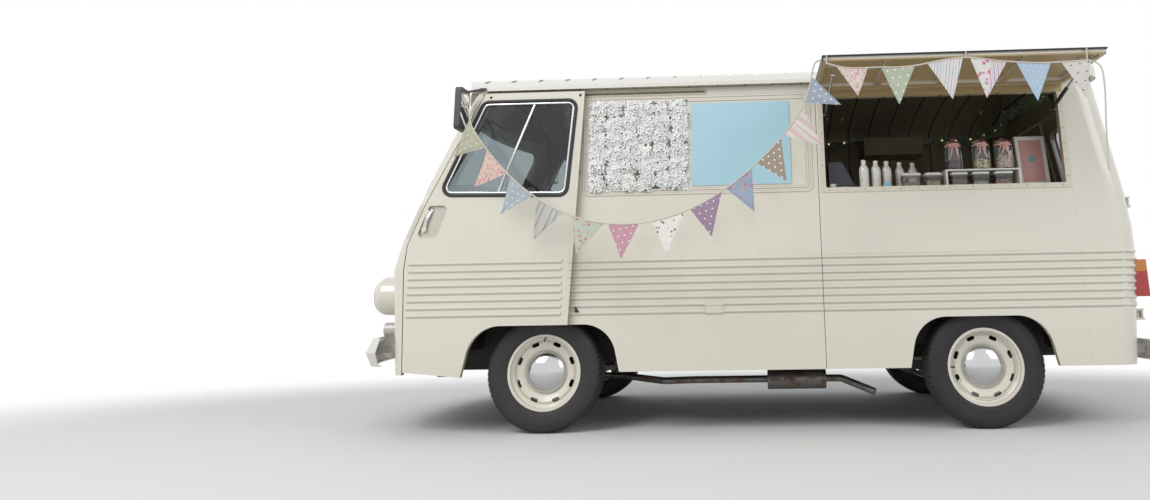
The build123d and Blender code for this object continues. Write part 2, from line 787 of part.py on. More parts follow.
pin_hole = Pos((lid_front_x + lid_back_x) / 2, -lid_hinge_y, lid_hinge_z) * Rot(0, 90, 0) \
    * Cylinder(hinge_pin_radius + pin_gap, lid_back_x - lid_front_x + 4)
hinge_pin = Pos((lid_front_x + lid_back_x) / 2, -lid_hinge_y, lid_hinge_z) * Rot(0, 90, 0) \
    * Cylinder(hinge_pin_radius, lid_back_x - lid_front_x)
hinge_wall = hinge_pin
for index in range(0, hinge_knuckles, 2):
    hinge_wall = hinge_wall + hinge_knuckle(index, wall_leaf)

strut_planes = [hatch_front_x + strut_jamb_gap, hatch_back_x - strut_jamb_gap]
jamb_studs = []
for x, jamb in zip(strut_planes, (hatch_front_x, hatch_back_x)):
    inward = 1 if x > jamb else -1
    stud = Pos((x + jamb) / 2, -strut_jamb_y, strut_jamb_z) * Rot(0, 90, 0) \
        * Cylinder(strut_pin_radius, abs(x - jamb) + strut_body_radius - 2 * seat_gap)
    jamb_studs.append(Pos(inward * strut_body_radius / 2, 0, 0) * stud)
hatch_frame_node = trim + hinge_wall
save("hatch_trim", hatch_frame_node, *jamb_studs)


def lid_open(shape):
    """Turns a piece from the closed lid to the open lid."""
    axis = Axis((0, -lid_hinge_y, lid_hinge_z), (1, 0, 0))
    return shape.rotate(axis, -lid_open_deg)


lid_low_z = lid_hinge_z - lid_drop - lid_depth
lid_top_z = lid_hinge_z - lid_drop
lid_panel = block(lid_front_x, lid_back_x, -lid_inner_y - lid_thickness, -lid_inner_y, lid_low_z, lid_top_z)
lid_panel = fillet(lid_panel.edges().filter_by(Axis.Y).group_by(Axis.Z)[0], 18)
lid_hollow = block(lid_front_x + lid_rim, lid_back_x - lid_rim, -lid_inner_y - lid_thickness + lid_skin,
                   -lid_inner_y + 1, lid_low_z + lid_rim, lid_top_z - lid_rim)
ridge_count = 3
ridge_width = 40.0
lid_panel = lid_panel - lid_hollow
for index in range(ridge_count):
    x = lid_front_x + (index + 1) * (lid_back_x - lid_front_x) / (ridge_count + 1)
    lid_panel = lid_panel + block(x - ridge_width / 2, x + ridge_width / 2, -lid_inner_y - lid_thickness + 1,
                                  -lid_inner_y - 8, lid_low_z + 5, lid_top_z - 5)
for index in range(1, hinge_knuckles, 2):
    lid_panel = lid_panel + (hinge_knuckle(index, lid_leaf) - pin_hole)
strut_lid_y = lid_inner_y - strut_lid_stand_off
strut_lid_z = lid_hinge_z - strut_lid_run
lid_arms = []
for x, end in zip(strut_planes, (-1, 1)):
    cheek = x + end * (strut_body_radius + 1)
    arm = block(min(cheek, cheek + end * 5), max(cheek, cheek + end * 5), -lid_inner_y - 8, -strut_lid_y + 10,
                strut_lid_z - 16, strut_lid_z + 16)
    foot = block(min(cheek, cheek + end * 5) - 20, max(cheek, cheek + end * 5) + 20, -lid_inner_y - lid_thickness
                 + lid_skin - 1, -lid_inner_y - 8, strut_lid_z - 30, strut_lid_z + 30)
    pin = Pos(x + end * 3, -strut_lid_y, strut_lid_z) * Rot(0, 90, 0) \
        * Cylinder(strut_pin_radius, 2 * strut_body_radius + 4)
    lid_arms.append(arm + foot + pin)
for arm in lid_arms:
    lid_panel = lid_panel + arm
hatch_lid = lid_open(lid_panel)
for x in lid_eye_columns:
    eye_z = lid_hinge_z + lid_eye_rise
    hatch_lid = hatch_lid + Pos(x, -lid_tape_y, eye_z) * Rot(0, 90, 0) * Cylinder(lid_eye_pin_radius, 2 * lid_eye_half)
    for x0, x1 in ((x - lid_eye_half, x - loop_half - 1.5), (x + loop_half + 1.5, x + lid_eye_half)):
        hatch_lid = hatch_lid + block(x0, x1, -lid_tape_y - 3, -lid_reach + 1, eye_z - 4, eye_z + 4)
save("hatch_lid", hatch_lid)

# Struts, drawn along the open lid's line from the jamb pin to the lid pin
hinge_to_pin = Vector(0, -(strut_lid_y - lid_hinge_y), strut_lid_z - lid_hinge_z)
open_pin = hinge_to_pin.rotate(Axis.X, -lid_open_deg) + Vector(0, -lid_hinge_y, lid_hinge_z)
jamb_pin = Vector(0, -strut_jamb_y, strut_jamb_z)
reach = open_pin - jamb_pin
closed_reach = hinge_to_pin + Vector(0, -lid_hinge_y, lid_hinge_z) - jamb_pin
strut_open_length = reach.length
strut_closed_length = closed_reach.length
for x, side in zip(strut_planes, ("front", "back")):
    along = Plane(origin=(x, jamb_pin.Y, jamb_pin.Z), x_dir=(1, 0, 0), z_dir=reach)
    eye = Rot(0, 90, 0) * Cylinder(strut_eye_radius, 2 * strut_body_radius - 2)
    eye_hole = Rot(0, 90, 0) * Cylinder(strut_pin_radius + pin_gap, 4 * strut_body_radius)
    neck = Pos(0, 0, 4) * Cylinder(strut_eye_radius - 2, 34, align=(Align.CENTER, Align.CENTER, Align.MIN))
    tube = Pos(0, 0, 24) * Cylinder(strut_body_radius, strut_body_length,
                                    align=(Align.CENTER, Align.CENTER, Align.MIN))
    bore = Pos(0, 0, 30) * Cylinder(strut_rod_radius + pin_gap, strut_body_length + 20,
                                    align=(Align.CENTER, Align.CENTER, Align.MIN))
    cylinder = eye + neck + tube - eye_hole - bore
    rod_start = 24 + strut_body_length - 12
    strut_rod = Pos(0, 0, rod_start) * Cylinder(strut_rod_radius, strut_open_length - rod_start,
                                                align=(Align.CENTER, Align.CENTER, Align.MIN))
    rod_eye = Pos(0, 0, strut_open_length) * eye
    rod_hole = Pos(0, 0, strut_open_length) * eye_hole
    save(f"strut_cylinder_{side}", along * cylinder)
    save(f"strut_rod_{side}", along * (strut_rod + rod_eye - rod_hole))

# Cab doors
door_sketch = outline(door_front_edge + [(door_back_top_x, door_top_z), (door_back_foot_x, sill_z - 10),
                                         door_foot_back])
door_arch = arch(*front_arch)
door_plain = side_solid(door_sketch - door_arch, half_door - door_thickness, half_door)
lip_ring = side_solid(arch(*front_arch, grow=door_lip) - door_arch, half_door - 1, half_door + door_lip_proud)
door_prism = side_solid(door_sketch, half_door - door_thickness, half_door + 30)
back_lip = outline([(door_back_x(rib_lowest_z - 40), rib_lowest_z - 40), (door_back_x(door_top_z), door_top_z),
                    (door_back_x(door_top_z) - door_lip, door_top_z),
                    (door_back_x(rib_lowest_z - 40) - door_lip, rib_lowest_z - 40)])
door_lips = (lip_ring + side_solid(back_lip, half_door - 1, half_door + door_lip_proud)) & door_prism
door_ribs = Part() + rib_bars(door_front_edge[1][0] + 26, door_back_x(rib_lowest_z) - door_lip - 26, half_door)
window_sketch = outline(door_window, door_window_radius)
recess_sketch = outline(handle_recess, 22)
handle_pocket = side_solid(recess_sketch, half_door - handle_recess_depth, half_door + 5)
window_cut = side_solid(window_sketch, half_door - door_thickness - 5, half_door + 10)
shoes = []
for x in shoe_columns:
    neck = block(x - shoe_length / 2, x + shoe_length / 2, -(half_door - door_thickness + 1),
                 -(half_wall - 6), (rail_low_z + rail_top_z - rail_slot) / 2 + pin_gap,
                 (rail_low_z + rail_top_z + rail_slot) / 2 - pin_gap)
    head = block(x - shoe_length / 2, x + shoe_length / 2, -(half_wall - 6), -(half_wall - 6 - shoe_head_depth),
                 (rail_low_z + rail_top_z - shoe_head) / 2, (rail_low_z + rail_top_z + shoe_head) / 2)
    shoes.append(neck + head)
cab_door = door_plain + door_lips + door_ribs - handle_pocket - window_cut
for shoe in shoes:
    cab_door = cab_door + shoe
handle_lever = side_solid(outline([(-1868.0, 1150.0), (-1846.0, 1146.0), (-1826.0, 1262.0), (-1840.0, 1266.0)], 5),
                          half_door - handle_recess_depth + 6, half_door + 2)
handle_root = bar(-1856.0, 1152.0, 15, -(half_door - handle_recess_depth - 1), -(half_door + 1))
cab_door = cab_door + handle_lever + handle_root
door_glass = side_solid(offset(window_sketch, -seat_gap), half_door - (door_thickness + glass_thickness) / 2,
                        half_door - (door_thickness - glass_thickness) / 2)
for name, place in (("left", lambda shape: shape), ("right", right)):
    save(f"cab_door_{name}", place(cab_door))
    save(f"cab_door_glass_{name}", place(door_glass))

# Rails that the cab doors hang on
rail = block(rail_front_x, rail_back_x, -half_wall - 2, -half_wall + rail_depth, rail_low_z, rail_top_z)
rail_room = block(rail_front_x - 1, rail_back_x - 12, -half_wall + 3, -half_wall + rail_depth - 3,
                  (rail_low_z + rail_top_z - shoe_head) / 2 - pin_gap, (rail_low_z + rail_top_z + shoe_head) / 2 + pin_gap)
rail_mouth = block(rail_front_x - 1, rail_back_x - 12, -half_wall - 5, -half_wall + 5,
                   (rail_low_z + rail_top_z - rail_slot) / 2, (rail_low_z + rail_top_z + rail_slot) / 2)
door_rail = rail - rail_room - rail_mouth
save("door_rails", door_rail, right(door_rail))

# Rear doors. The middle edge is bevelled along the lean, so that a leaf swings past the other one
rear_leaf_edge = -tail_opening_half + tail_door_gap
rear_leaf_prism = extrude(Plane.YZ.offset(tail_x - 400) * outline([
    (rear_leaf_edge, tail_opening_low_z + tail_door_gap), (-tail_middle_gap, tail_opening_low_z + tail_door_gap),
    (-tail_middle_gap, tail_opening_top_z - tail_door_gap), (rear_leaf_edge, tail_opening_top_z - tail_door_gap)]),
    600)
rear_leaf = (outer_body - inner_body) & rear_leaf_prism
for rib in tail_rib_rings:
    rear_leaf = rear_leaf + ((rib - inner_body) & rear_leaf_prism)
bevel_levels = []
for z, nose_back, tail_back in body_sections:
    skin_x = tail_x - tail_back
    bevel_levels.append(Pos(0, 0, z) * outline([(skin_x, -tail_middle_gap), (skin_x, 0), (skin_x - wall, 0),
                                                (skin_x - wall, -tail_middle_gap - tail_middle_bevel)]))
rear_leaf = rear_leaf - loft(bevel_levels, ruled=True)
tail_window = rounded(-tail_opening_half + tail_window_side, -tail_window_side, tail_window_low_z,
                      tail_window_top_z, tail_window_radius)
tail_window_cut = extrude(Plane.YZ.offset(tail_x - 400) * tail_window, 600)
rear_leaf = rear_leaf - tail_window_cut
tail_glass = (body(half_wall, 15) - body(half_wall, 15 + glass_thickness)) \
    & extrude(Plane.YZ.offset(tail_x - 400) * offset(tail_window, -seat_gap), 600)
for z in tail_hinge_rows:
    strap = block(tail_x - lies_back(z, 2) - wall / 2, tail_hinge_x, rear_leaf_edge, rear_leaf_edge + 60,
                  z - tail_hinge_half, z + tail_hinge_half)
    tube = Pos(tail_hinge_x, -tail_hinge_y, z) * Cylinder(tail_hinge_radius, 2 * tail_hinge_half)
    bore = Pos(tail_hinge_x, -tail_hinge_y, z) * Cylinder(tail_pin_radius + pin_gap, 3 * tail_hinge_half)
    rear_leaf = rear_leaf + (strap - inner_body) + tube - bore
for name, place in (("left", lambda shape: shape), ("right", right)):
    save(f"rear_door_{name}", place(rear_leaf))
    save(f"rear_door_glass_{name}", place(tail_glass))

# Nose: grille, lamps and bumper
slat_pitch = (grille_top_z - grille_low_z) / slat_count
slats = []
for index in range(slat_count):
    z = grille_low_z + (index + 0.5) * slat_pitch - slat_height / 2
    slats.append(bow_sector(z, slat_height, grille_half_width - seat_gap, 2.0, 2.0 + slat_depth))
uprights = []
for y in (-grille_half_width + 8.5, -260.0, 0.0, 260.0, grille_half_width - 8.5):
    inset_x = bow_centre_x - math.sqrt(bow_radius ** 2 - y ** 2)
    uprights.append(block(inset_x + 12, inset_x + 46, y - 8, y + 8, grille_low_z, grille_top_z))
grille = (Part() + slats + uprights) & through_nose(offset(grille_sketch, -seat_gap))
save("grille", grille)

pod_profile = make_face(Polyline((0, 0), (0, lamp_lens_radius), (6, lamp_lens_radius + 6), (26, lamp_radius - 6),
                                 (46, lamp_radius), (190, lamp_radius), (190, 0), close=True))
pod = revolve(Plane.XY * pod_profile, Axis.X)
headlamps = []
indicators = []
for side in (-1, 1):
    headlamps.append((Pos(lamp_front_x, side * lamp_y, lamp_z) * pod) - outer_nose)
    stem = Pos(indicator_front_x, side * lamp_y, indicator_z) * Rot(0, 90, 0) \
        * Cylinder(indicator_radius, 150, align=(Align.CENTER, Align.CENTER, Align.MIN))
    indicators.append(stem - outer_nose)
save("headlamps", *headlamps)

tail_lamps = []
for side in (-1, 1):
    lamp = block(tail_x - 120, tail_x + tail_lamp_proud, side * tail_lamp_y - tail_lamp_width / 2,
                 side * tail_lamp_y + tail_lamp_width / 2, tail_lamp_low_z, tail_lamp_top_z)
    for rib in tail_rib_rings:
        lamp = lamp - rib
    tail_lamps.append(lamp - outer_body)
save("signal_lamps", *indicators, *tail_lamps)


def bumper_profile(low, high, depth, vee):
    """A vee-fronted channel, drawn in X and Z with its nose at X = 0."""
    middle = (low + high) / 2
    outer = [(depth, low), (vee, low), (0, middle), (vee, high), (depth, high)]
    inner = [(depth, high - bumper_sheet), (vee + 2, high - bumper_sheet), (bumper_sheet + 3, middle),
             (vee + 2, low + bumper_sheet), (depth, low + bumper_sheet)]
    return make_face(Polyline(*(outer + inner), close=True))


front_section = Plane.XZ * (Pos(front_x, 0) * bumper_profile(bumper_low_z, bumper_top_z, bumper_depth, bumper_vee))
bow_axis = Axis((bow_centre_x, 0, 0), (0, 0, 1))
half_bumper = revolve(front_section, bow_axis, bumper_half_angle)
end_section = front_section.rotate(bow_axis, bumper_half_angle)
end_angle = math.radians(bumper_half_angle)
end_radius = bow_centre_x - front_x - bumper_end_radius
end_axis = Axis((bow_centre_x - end_radius * math.cos(end_angle), -end_radius * math.sin(end_angle), 0), (0, 0, 1))
bumper_end = revolve(end_section, end_axis, bumper_end_angle)
left_bumper = half_bumper + bumper_end
bracket_y = 500.0
brackets = []
for side in (-1, 1):
    web_x = bow_centre_x - math.sqrt((bow_centre_x - front_x) ** 2 - bracket_y ** 2) + 14
    bracket = block(web_x, nose_x + 120, side * bracket_y - 25, side * bracket_y + 25, 430, 484)
    brackets.append(bracket - outer_nose)
front_bumper = left_bumper + right(left_bumper)
for bracket in brackets:
    front_bumper = front_bumper + bracket
save("front_bumper", front_bumper)

# Rear bumper
tail_section = Plane.XZ * (Pos(rear_x, 0) * mirror(bumper_profile(tail_bumper_low_z, tail_bumper_top_z, 50, 20),
                                                   about=Plane.YZ))
tail_bar = extrude(tail_section, tail_bumper_half, both=True)
tail_mounts = []
for side in (-1, 1):
    mount = block(tail_x - 100, rear_x - 12, side * 600 - 25, side * 600 + 25, 375, 430)
    tail_mounts.append(mount - outer_body)
tail_bumper = tail_bar
for mount in tail_mounts:
    tail_bumper = tail_bumper + mount
save("rear_bumper", tail_bumper)

# Floor, sills, rails and wheel boxes
floor_low_z = floor_z - floor_thickness
floor_sheet = extrude(plan(floor_low_z, lies_back(floor_low_z, 1), lies_back(floor_low_z, 2), half_wall,
                           wall + seat_gap), floor_thickness)
floor_sheet = floor_sheet - block(engine_front_x - engine_room, engine_back_x + engine_room,
                                  -engine_half - engine_room, engine_half + engine_room, 0, floor_z + 1)
pieces = []
for side in (-1, 1):
    for axle, half, inner_y, top in ((front_axle_x, front_box_half, front_box_inner_y, front_box_top_z),
                                     (rear_axle_x - 19.0, rear_box_half, rear_box_inner_y, rear_box_top_z)):
        y0, y1 = sorted((side * inner_y, side * (half_inner - seat_gap)))
        floor_sheet = floor_sheet - block(axle - half, axle + half, y0, y1, 0, floor_z + 1)
        box = block(axle - half, axle + half, y0, y1, floor_z - floor_thickness, top)
        if side < 0:
            room = block(axle - half + wheel_box_sheet, axle + half - wheel_box_sheet, y0 - 5,
                         y1 - wheel_box_sheet, 0, top - wheel_box_sheet)
        else:
            room = block(axle - half + wheel_box_sheet, axle + half - wheel_box_sheet, y0 + wheel_box_sheet,
                         y1 + 5, 0, top - wheel_box_sheet)
        pieces.append(box - room)
    y0, y1 = side * rail_y - rail_width / 2, side * rail_y + rail_width / 2
    pieces.append(block(-1970, 2140, y0, y1, floor_z - floor_thickness - rail_height, floor_z - floor_thickness + 1))
    y0, y1 = sorted((side * (half_inner - seat_gap), side * (half_inner - sill_width)))
    pieces.append(block(front_axle_x + front_box_half, rear_axle_x - rear_box_half - 19.0, y0, y1, sill_z + 5,
                        floor_z - floor_thickness + 1))
    eye = block(towing_eye_x - 32, towing_eye_x + 32, side * rail_y - towing_eye_thickness / 2,
                side * rail_y + towing_eye_thickness / 2, towing_eye_z - 32, floor_low_z - rail_height + 1)
    pieces.append(eye - bar(towing_eye_x, towing_eye_z, towing_eye_radius, side * rail_y - 40, side * rail_y + 40))
for x in (-500.0, 150.0, 820.0, 1900.0):
    pieces.append(block(x - 30, x + 30, -half_inner + 60, half_inner - 60, floor_low_z - beam_height,
                        floor_low_z + 1))
underframe = floor_sheet
for piece in pieces:
    underframe = underframe + piece
save("underframe", underframe)

# Engine, one plain block, its cover and the radiator behind the grille
engine = block(engine_front_x, engine_back_x, -engine_half, engine_half, 300, 760)
radiator = block(-2130, -2090, -262, 262, floor_z + seat_gap, 755)
engine_block = engine + radiator + block(-2095, engine_front_x + 10, -40, 40, 600, 660)
save("engine", engine_block)

# Wheels
def tyre():
    """A tyre about the Y axis, with a rounded tread and bulging walls."""
    half = tyre_width / 2
    bead = rim_half_width - 1 - seat_gap
    points = [(-tread_half, tyre_radius - 6), (-tread_half + 14, tyre_radius), (tread_half - 14, tyre_radius),
              (tread_half, tyre_radius - 6), (half - 6, tyre_radius - 34), (half, tyre_radius - 62),
              (half - 5, tyre_bead_radius + 40), (bead, rim_radius + 4), (bead, tyre_bead_radius),
              (-bead, tyre_bead_radius), (-bead, rim_radius + 4), (-half + 5, tyre_bead_radius + 40),
              (-half, tyre_radius - 62), (-half + 6, tyre_radius - 34)]
    return revolve(make_face(Polyline(*points, close=True)), Axis.X)


def rim():
    """A pressed wheel about the X axis, its outer face towards +X."""
    h, s = rim_half_width, rim_sheet
    barrel = [(-h, rim_radius), (-h, tyre_bead_radius - seat_gap), (-h + 24, tyre_bead_radius - seat_gap),
              (-h + 34, tyre_bead_radius - 20), (h - 34, tyre_bead_radius - 20),
              (h - 24, tyre_bead_radius - seat_gap), (h - 1, tyre_bead_radius - seat_gap), (h, rim_radius),
              (h + s, rim_radius), (h + s - 1, tyre_bead_radius - s), (h - 22, tyre_bead_radius - s - 2),
              (h - 34, tyre_bead_radius - 20 - s), (-h + 34, tyre_bead_radius - 20 - s),
              (-h + 22, tyre_bead_radius - s - 2), (-h - s + 1, tyre_bead_radius - s), (-h - s, rim_radius)]
    hoop = revolve(make_face(Polyline(*barrel, close=True)), Axis.X)
    d = disc_offset
    disc = [(d - 30, tyre_bead_radius - 22), (d + 6, vent_pitch_radius + 18), (d + 16, vent_pitch_radius),
            (d + 4, cap_radius + 12), (d - 14, cap_radius - 12), (d - 6, 70), (d - 6, hub_bore_radius),
            (d - 14, hub_bore_radius), (d - 14, 76), (d - 22, cap_radius - 14), (d - 5, cap_radius + 10),
            (d + 7, vent_pitch_radius), (d - 3, vent_pitch_radius + 15), (d - 38, tyre_bead_radius - 25)]
    plate = revolve(make_face(Polyline(*disc, close=True)), Axis.X)
    for index in range(vent_count):
        cut = Rot(0, 90, 0) * extrude(Pos(0, vent_pitch_radius, 0) * SlotOverall(vent_length, vent_width), 60,
                                      both=True)
        plate = plate - Rot(index * 360 / vent_count + 22.5, 0, 0) * cut
    dome = [(d - 7, 0), (d - 7, cap_radius - 10), (d - 6, cap_radius), (d + 8, cap_radius - 6),
            (d + 26, cap_radius - 36), (d + 38, cap_radius - 70), (d + cap_rise, 0)]
    cap = revolve(make_face(Polyline(*dome, close=True)), Axis.X)
    return hoop + plate + cap


tyre_solid = tyre()
rim_solid = rim()
wheel_columns = [("front_left", front_axle_x, -1), ("front_right", front_axle_x, 1),
                 ("rear_left", rear_axle_x, -1), ("rear_right", rear_axle_x, 1)]
for name, x, side in wheel_columns:
    place = Pos(x, side * half_track, tyre_radius) * Rot(0, 0, side * 90)
    save(f"tyre_{name}", place * tyre_solid)
    save(f"wheel_{name}", place * rim_solid)

# Knuckles
for name, side in (("left", -1), ("right", 1)):
    upright = Pos(front_axle_x, side * kingpin_y, tyre_radius) * Box(70, 34, 2 * upright_half)
    stub = bar(front_axle_x, tyre_radius, stub_radius, side * kingpin_y, side * (half_track + stub_reach))
    hub = bar(front_axle_x, tyre_radius, 62, side * (kingpin_y + 16), side * (half_track - 26))
    arm = block(front_axle_x, front_axle_x + 130, *sorted((side * (kingpin_y - 40), side * (kingpin_y - 14))),
                tyre_radius - 90, tyre_radius - 66)
    king_bore = Pos(front_axle_x, side * kingpin_y, tyre_radius) * Cylinder(king_radius + pin_gap, 240)
    end_bores = king_bore - Pos(front_axle_x, side * kingpin_y, tyre_radius) * Box(90, 60, 2 * (upright_half - king_depth))
    save(f"knuckle_{name}", upright + stub + hub + arm - end_bores)

# Front suspension: cross member, wishbones and their pins
rail_low_face_z = floor_low_z - rail_height
cross = block(front_axle_x - 60, front_axle_x + 60, -505, 505, rail_low_face_z - 72, rail_low_face_z - seat_gap)
wishbones = []
for side in (-1, 1):
    for end in (-1, 1):
        z = tyre_radius + end * (upright_half + arm_half + running_gap)
        y0, y1 = sorted((side * 480, side * (kingpin_y + 22)))
        arm = block(front_axle_x - 25, front_axle_x + 25, y0, y1, z - arm_half, z + arm_half)
        king_end_z = tyre_radius + end * (upright_half - king_depth + 1)
        king = Pos(front_axle_x, side * kingpin_y, (z + king_end_z) / 2) * Cylinder(king_radius, abs(z - king_end_z))
        wishbones.append(arm + king)
    y0, y1 = sorted((side * 470, side * 505))
    wishbones.append(block(front_axle_x - 40, front_axle_x + 40, y0, y1, tyre_radius - upright_half - 40,
                           floor_low_z - 2))
    wishbones.append(bar(front_axle_x, tyre_radius - 10, 20, side * 150, side * (kingpin_y - 60)))
front_suspension = cross
for piece in wishbones:
    front_suspension = front_suspension + piece
save("front_suspension", front_suspension)

# Rear axle: cross tube, trailing arms and stub axles
rear_tube_radius = 38.0
rear_axle = bar(rear_axle_x - 380, rail_low_face_z - rear_tube_radius - seat_gap, rear_tube_radius, -640, 640)
for side in (-1, 1):
    rear_axle = rear_axle + block(rear_axle_x - 400, rear_axle_x + 50, *sorted((side * 600, side * 650)), 300, 348)
    rear_axle = rear_axle + bar(rear_axle_x, tyre_radius, stub_radius, side * 610,
                                side * (half_track + stub_reach))
    rear_axle = rear_axle + bar(rear_axle_x, tyre_radius, 70, side * 640, side * (half_track - 40))
save("rear_axle", rear_axle)

# Exhaust and fuel tank
pipe_radius = 20.0
pipe_bend = 45.0
silencer = Pos(300, -690, 262) * Rot(0, 90, 0) * Cylinder(58, 340)
hanger = block(140, 160, -700, -680, 300, floor_low_z - beam_height)
tail_route = [(460, -690, 262), (560, -700, 262), (745, -762, 190)]
feed_route = [(engine_back_x + seat_gap, -180, 335), (-1340, -180, 335), (-1265, -180, 252), (-980, -180, 252),
              (-760, -300, 252), (-480, -690, 258), (-320, -690, 262), (135, -690, 262)]
exhaust = silencer + hanger
for route in (tail_route, feed_route):
    start = Plane(origin=route[0], z_dir=Vector(*route[1]) - Vector(*route[0]))
    exhaust = exhaust + sweep(start * Circle(pipe_radius), path=FilletPolyline(*route, radius=pipe_bend))
save("exhaust", exhaust)
tank = fillet(block(1480, 1860, -330, 330, 285, floor_low_z - seat_gap).edges().filter_by(Axis.Y), 40)
save("fuel_tank", tank)

# Cab inside
dash = block(-1975, -1800, -900, 900, 1020, 1180)
dash = fillet(dash.edges().filter_by(Axis.Y).group_by(Axis.X)[-1], 30) & inner_body
column_foot = (-1860.0, -seat_y, 1100.0)
column_length = 320.0
column = Plane(origin=column_foot, z_dir=column_axis) * Cylinder(22, column_length)
save("dashboard", dash + column)
hub_rise = column_length / 2 + hub_half_height + 2
wheel_centre = tuple(foot + hub_rise * part for foot, part in zip(column_foot, column_axis))
hoop = Torus(steering_radius, 12)
spokes = Box(2 * steering_radius - 10, 26, 10) + Box(26, 2 * steering_radius - 10, 10) \
    + Cylinder(36, 2 * hub_half_height)
save("steering_wheel", Plane(origin=wheel_centre, z_dir=column_axis) * (hoop + spokes))
cover_half = engine_half + engine_room + cover_sheet
cover = block(-2140, -1180, -cover_half, cover_half, floor_z + seat_gap, cover_top_z)
cover = fillet(cover.edges().filter_by(Axis.X).group_by(Axis.Z)[-1], 50)
cover_room = block(-2141, -1180 - cover_sheet, -cover_half + cover_sheet, cover_half - cover_sheet, floor_z - 1,
                   cover_top_z - cover_sheet)
cover_room = fillet(cover_room.edges().filter_by(Axis.X).group_by(Axis.Z)[-1], 40)
save("engine_cover", cover - cover_room)
seat_solids = []
for side in (-1, 1):
    y = side * seat_y
    base = block(-1440, -1030, y - 200, y + 200, front_box_top_z + seat_gap, 800)
    cushion = fillet(block(-1500, -1010, y - 240, y + 240, 795, 900).edges(), 30)
    back = Pos(-1040, y, 895) * Rot(0, 6, 0) * fillet(Box(110, 470, 560, align=(Align.CENTER, Align.CENTER,
                                                                               Align.MIN)).edges(), 30)
    seat_solids.append(base + cushion + back)
save("seats", *seat_solids)
bulkhead = block(bulkhead_x, bulkhead_x + bulkhead_thickness, -half_inner + seat_gap, half_inner - seat_gap,
                 floor_z + seat_gap, eaves_z - 2)
for side in (-1, 1):
    y0, y1 = sorted((side * (front_box_inner_y - seat_gap), side * half_inner))
    bulkhead = bulkhead - block(bulkhead_x - 1, bulkhead_x + bulkhead_thickness + 1, y0, y1, floor_z,
                                front_box_top_z + seat_gap)
save("bulkhead", bulkhead)

# Load space: counter, cabinets, wall box and what stands on the counter
counter_y = half_inner - seat_gap
counter_top = block(counter_front_x, counter_back_x, -counter_y, -counter_y + counter_depth,
                    hatch_sill_z - counter_top_thickness, hatch_sill_z - 2)
counter_body = block(counter_front_x + 20, counter_back_x - 20, -counter_y + 60, -counter_y + counter_depth - 40,
                     rear_box_top_z + 5, hatch_sill_z - counter_top_thickness + 1)
save("counter", counter_top + counter_body)
save("cabinets", block(cabinet_front_x, counter_back_x, counter_y - 230, counter_y, rear_box_top_z + 5, 1330)
     + block(box_front_x, box_front_x + box_length, counter_y - box_depth, counter_y, box_low_z,
             box_low_z + box_height)
     + block(box_front_x, box_front_x + box_length, counter_y - 12, counter_y, 1320, box_low_z + 1))

# What stands on the counter
counter_z = hatch_sill_z - 2
ware = [block(522, 680, -900, -790, counter_z, 1510)]
for x, y in bottle_columns:
    bottle = turned([(0, 0), (bottle_radius, 0), (bottle_radius, 118), (16, 140), (11, 146), (11, 158), (4, 175),
                     (0, 175)])
    ware.append(Pos(x, y, counter_z) * bottle)
for x, radius in tub_columns:
    tub = turned([(0, 0), (radius - 9, 0), (radius - 3, 74), (radius, 74), (radius, 88), (0, 88)])
    ware.append(Pos(x, ware_y, counter_z) * tub)
for x, radius in jar_columns:
    jar = turned([(0, 0), (radius, 0), (radius, 140), (radius - 11, 156), (radius - 11, 160), (radius - 7, 160),
                  (radius - 7, 186), (0, 190)])
    ware.append(Pos(x, ware_y, riser_top_z) * jar)
save("serving_ware", *ware)
riser_low_y, riser_high_y = ware_y - riser_depth / 2, ware_y + riser_depth / 2
riser = block(riser_front_x, riser_back_x, riser_low_y, riser_high_y, riser_top_z - 8, riser_top_z)
for x in (riser_front_x, riser_back_x - 10):
    riser = riser + block(x, x + 10, riser_low_y, riser_high_y, counter_z, riser_top_z - 4)
menu = Box(menu_width, menu_thickness, menu_height, align=(Align.CENTER, Align.CENTER, Align.MIN))
menu = Pos(menu_x, menu_y, counter_z + menu_foot) * Rot(-menu_lean_deg, 0, 0) * menu
save("display", riser, menu)

# Mirrors, each on two thin stays
mirrors = []
for side in (-1, 1):
    head_y = side * (mirror_reach - mirror_width / 2)
    head_z = mirror_low_z + mirror_height / 2
    head = Pos(mirror_x, head_y, head_z) * Box(mirror_thickness, mirror_width, mirror_height)
    head = fillet(head.edges().filter_by(Axis.X), 22)
    low_stay = rod((mirror_x - 40, side * 940.0, 1790.0), (mirror_x - 8, head_y, 1790.0), stay_radius)
    high_end = (-1540.0, side * (roof_half + 8), eaves_z + 9)
    high_stay = rod(high_end, (mirror_x, head_y - side * 30, mirror_low_z + mirror_height - 12), stay_radius)
    y0, y1 = sorted((side * (roof_half + seat_gap), side * (roof_half + 9)))
    plate = block(-1560, -1520, y0, y1, eaves_z + 1, eaves_z + 18)
    beside_roof = block(-1700, -1500, *sorted((side * (roof_half + seat_gap), side * mirror_reach)), 1600, 2100)
    mirrors.append(head + (low_stay - outer_nose) + (high_stay & beside_roof) + plate)
save("mirrors", *mirrors)

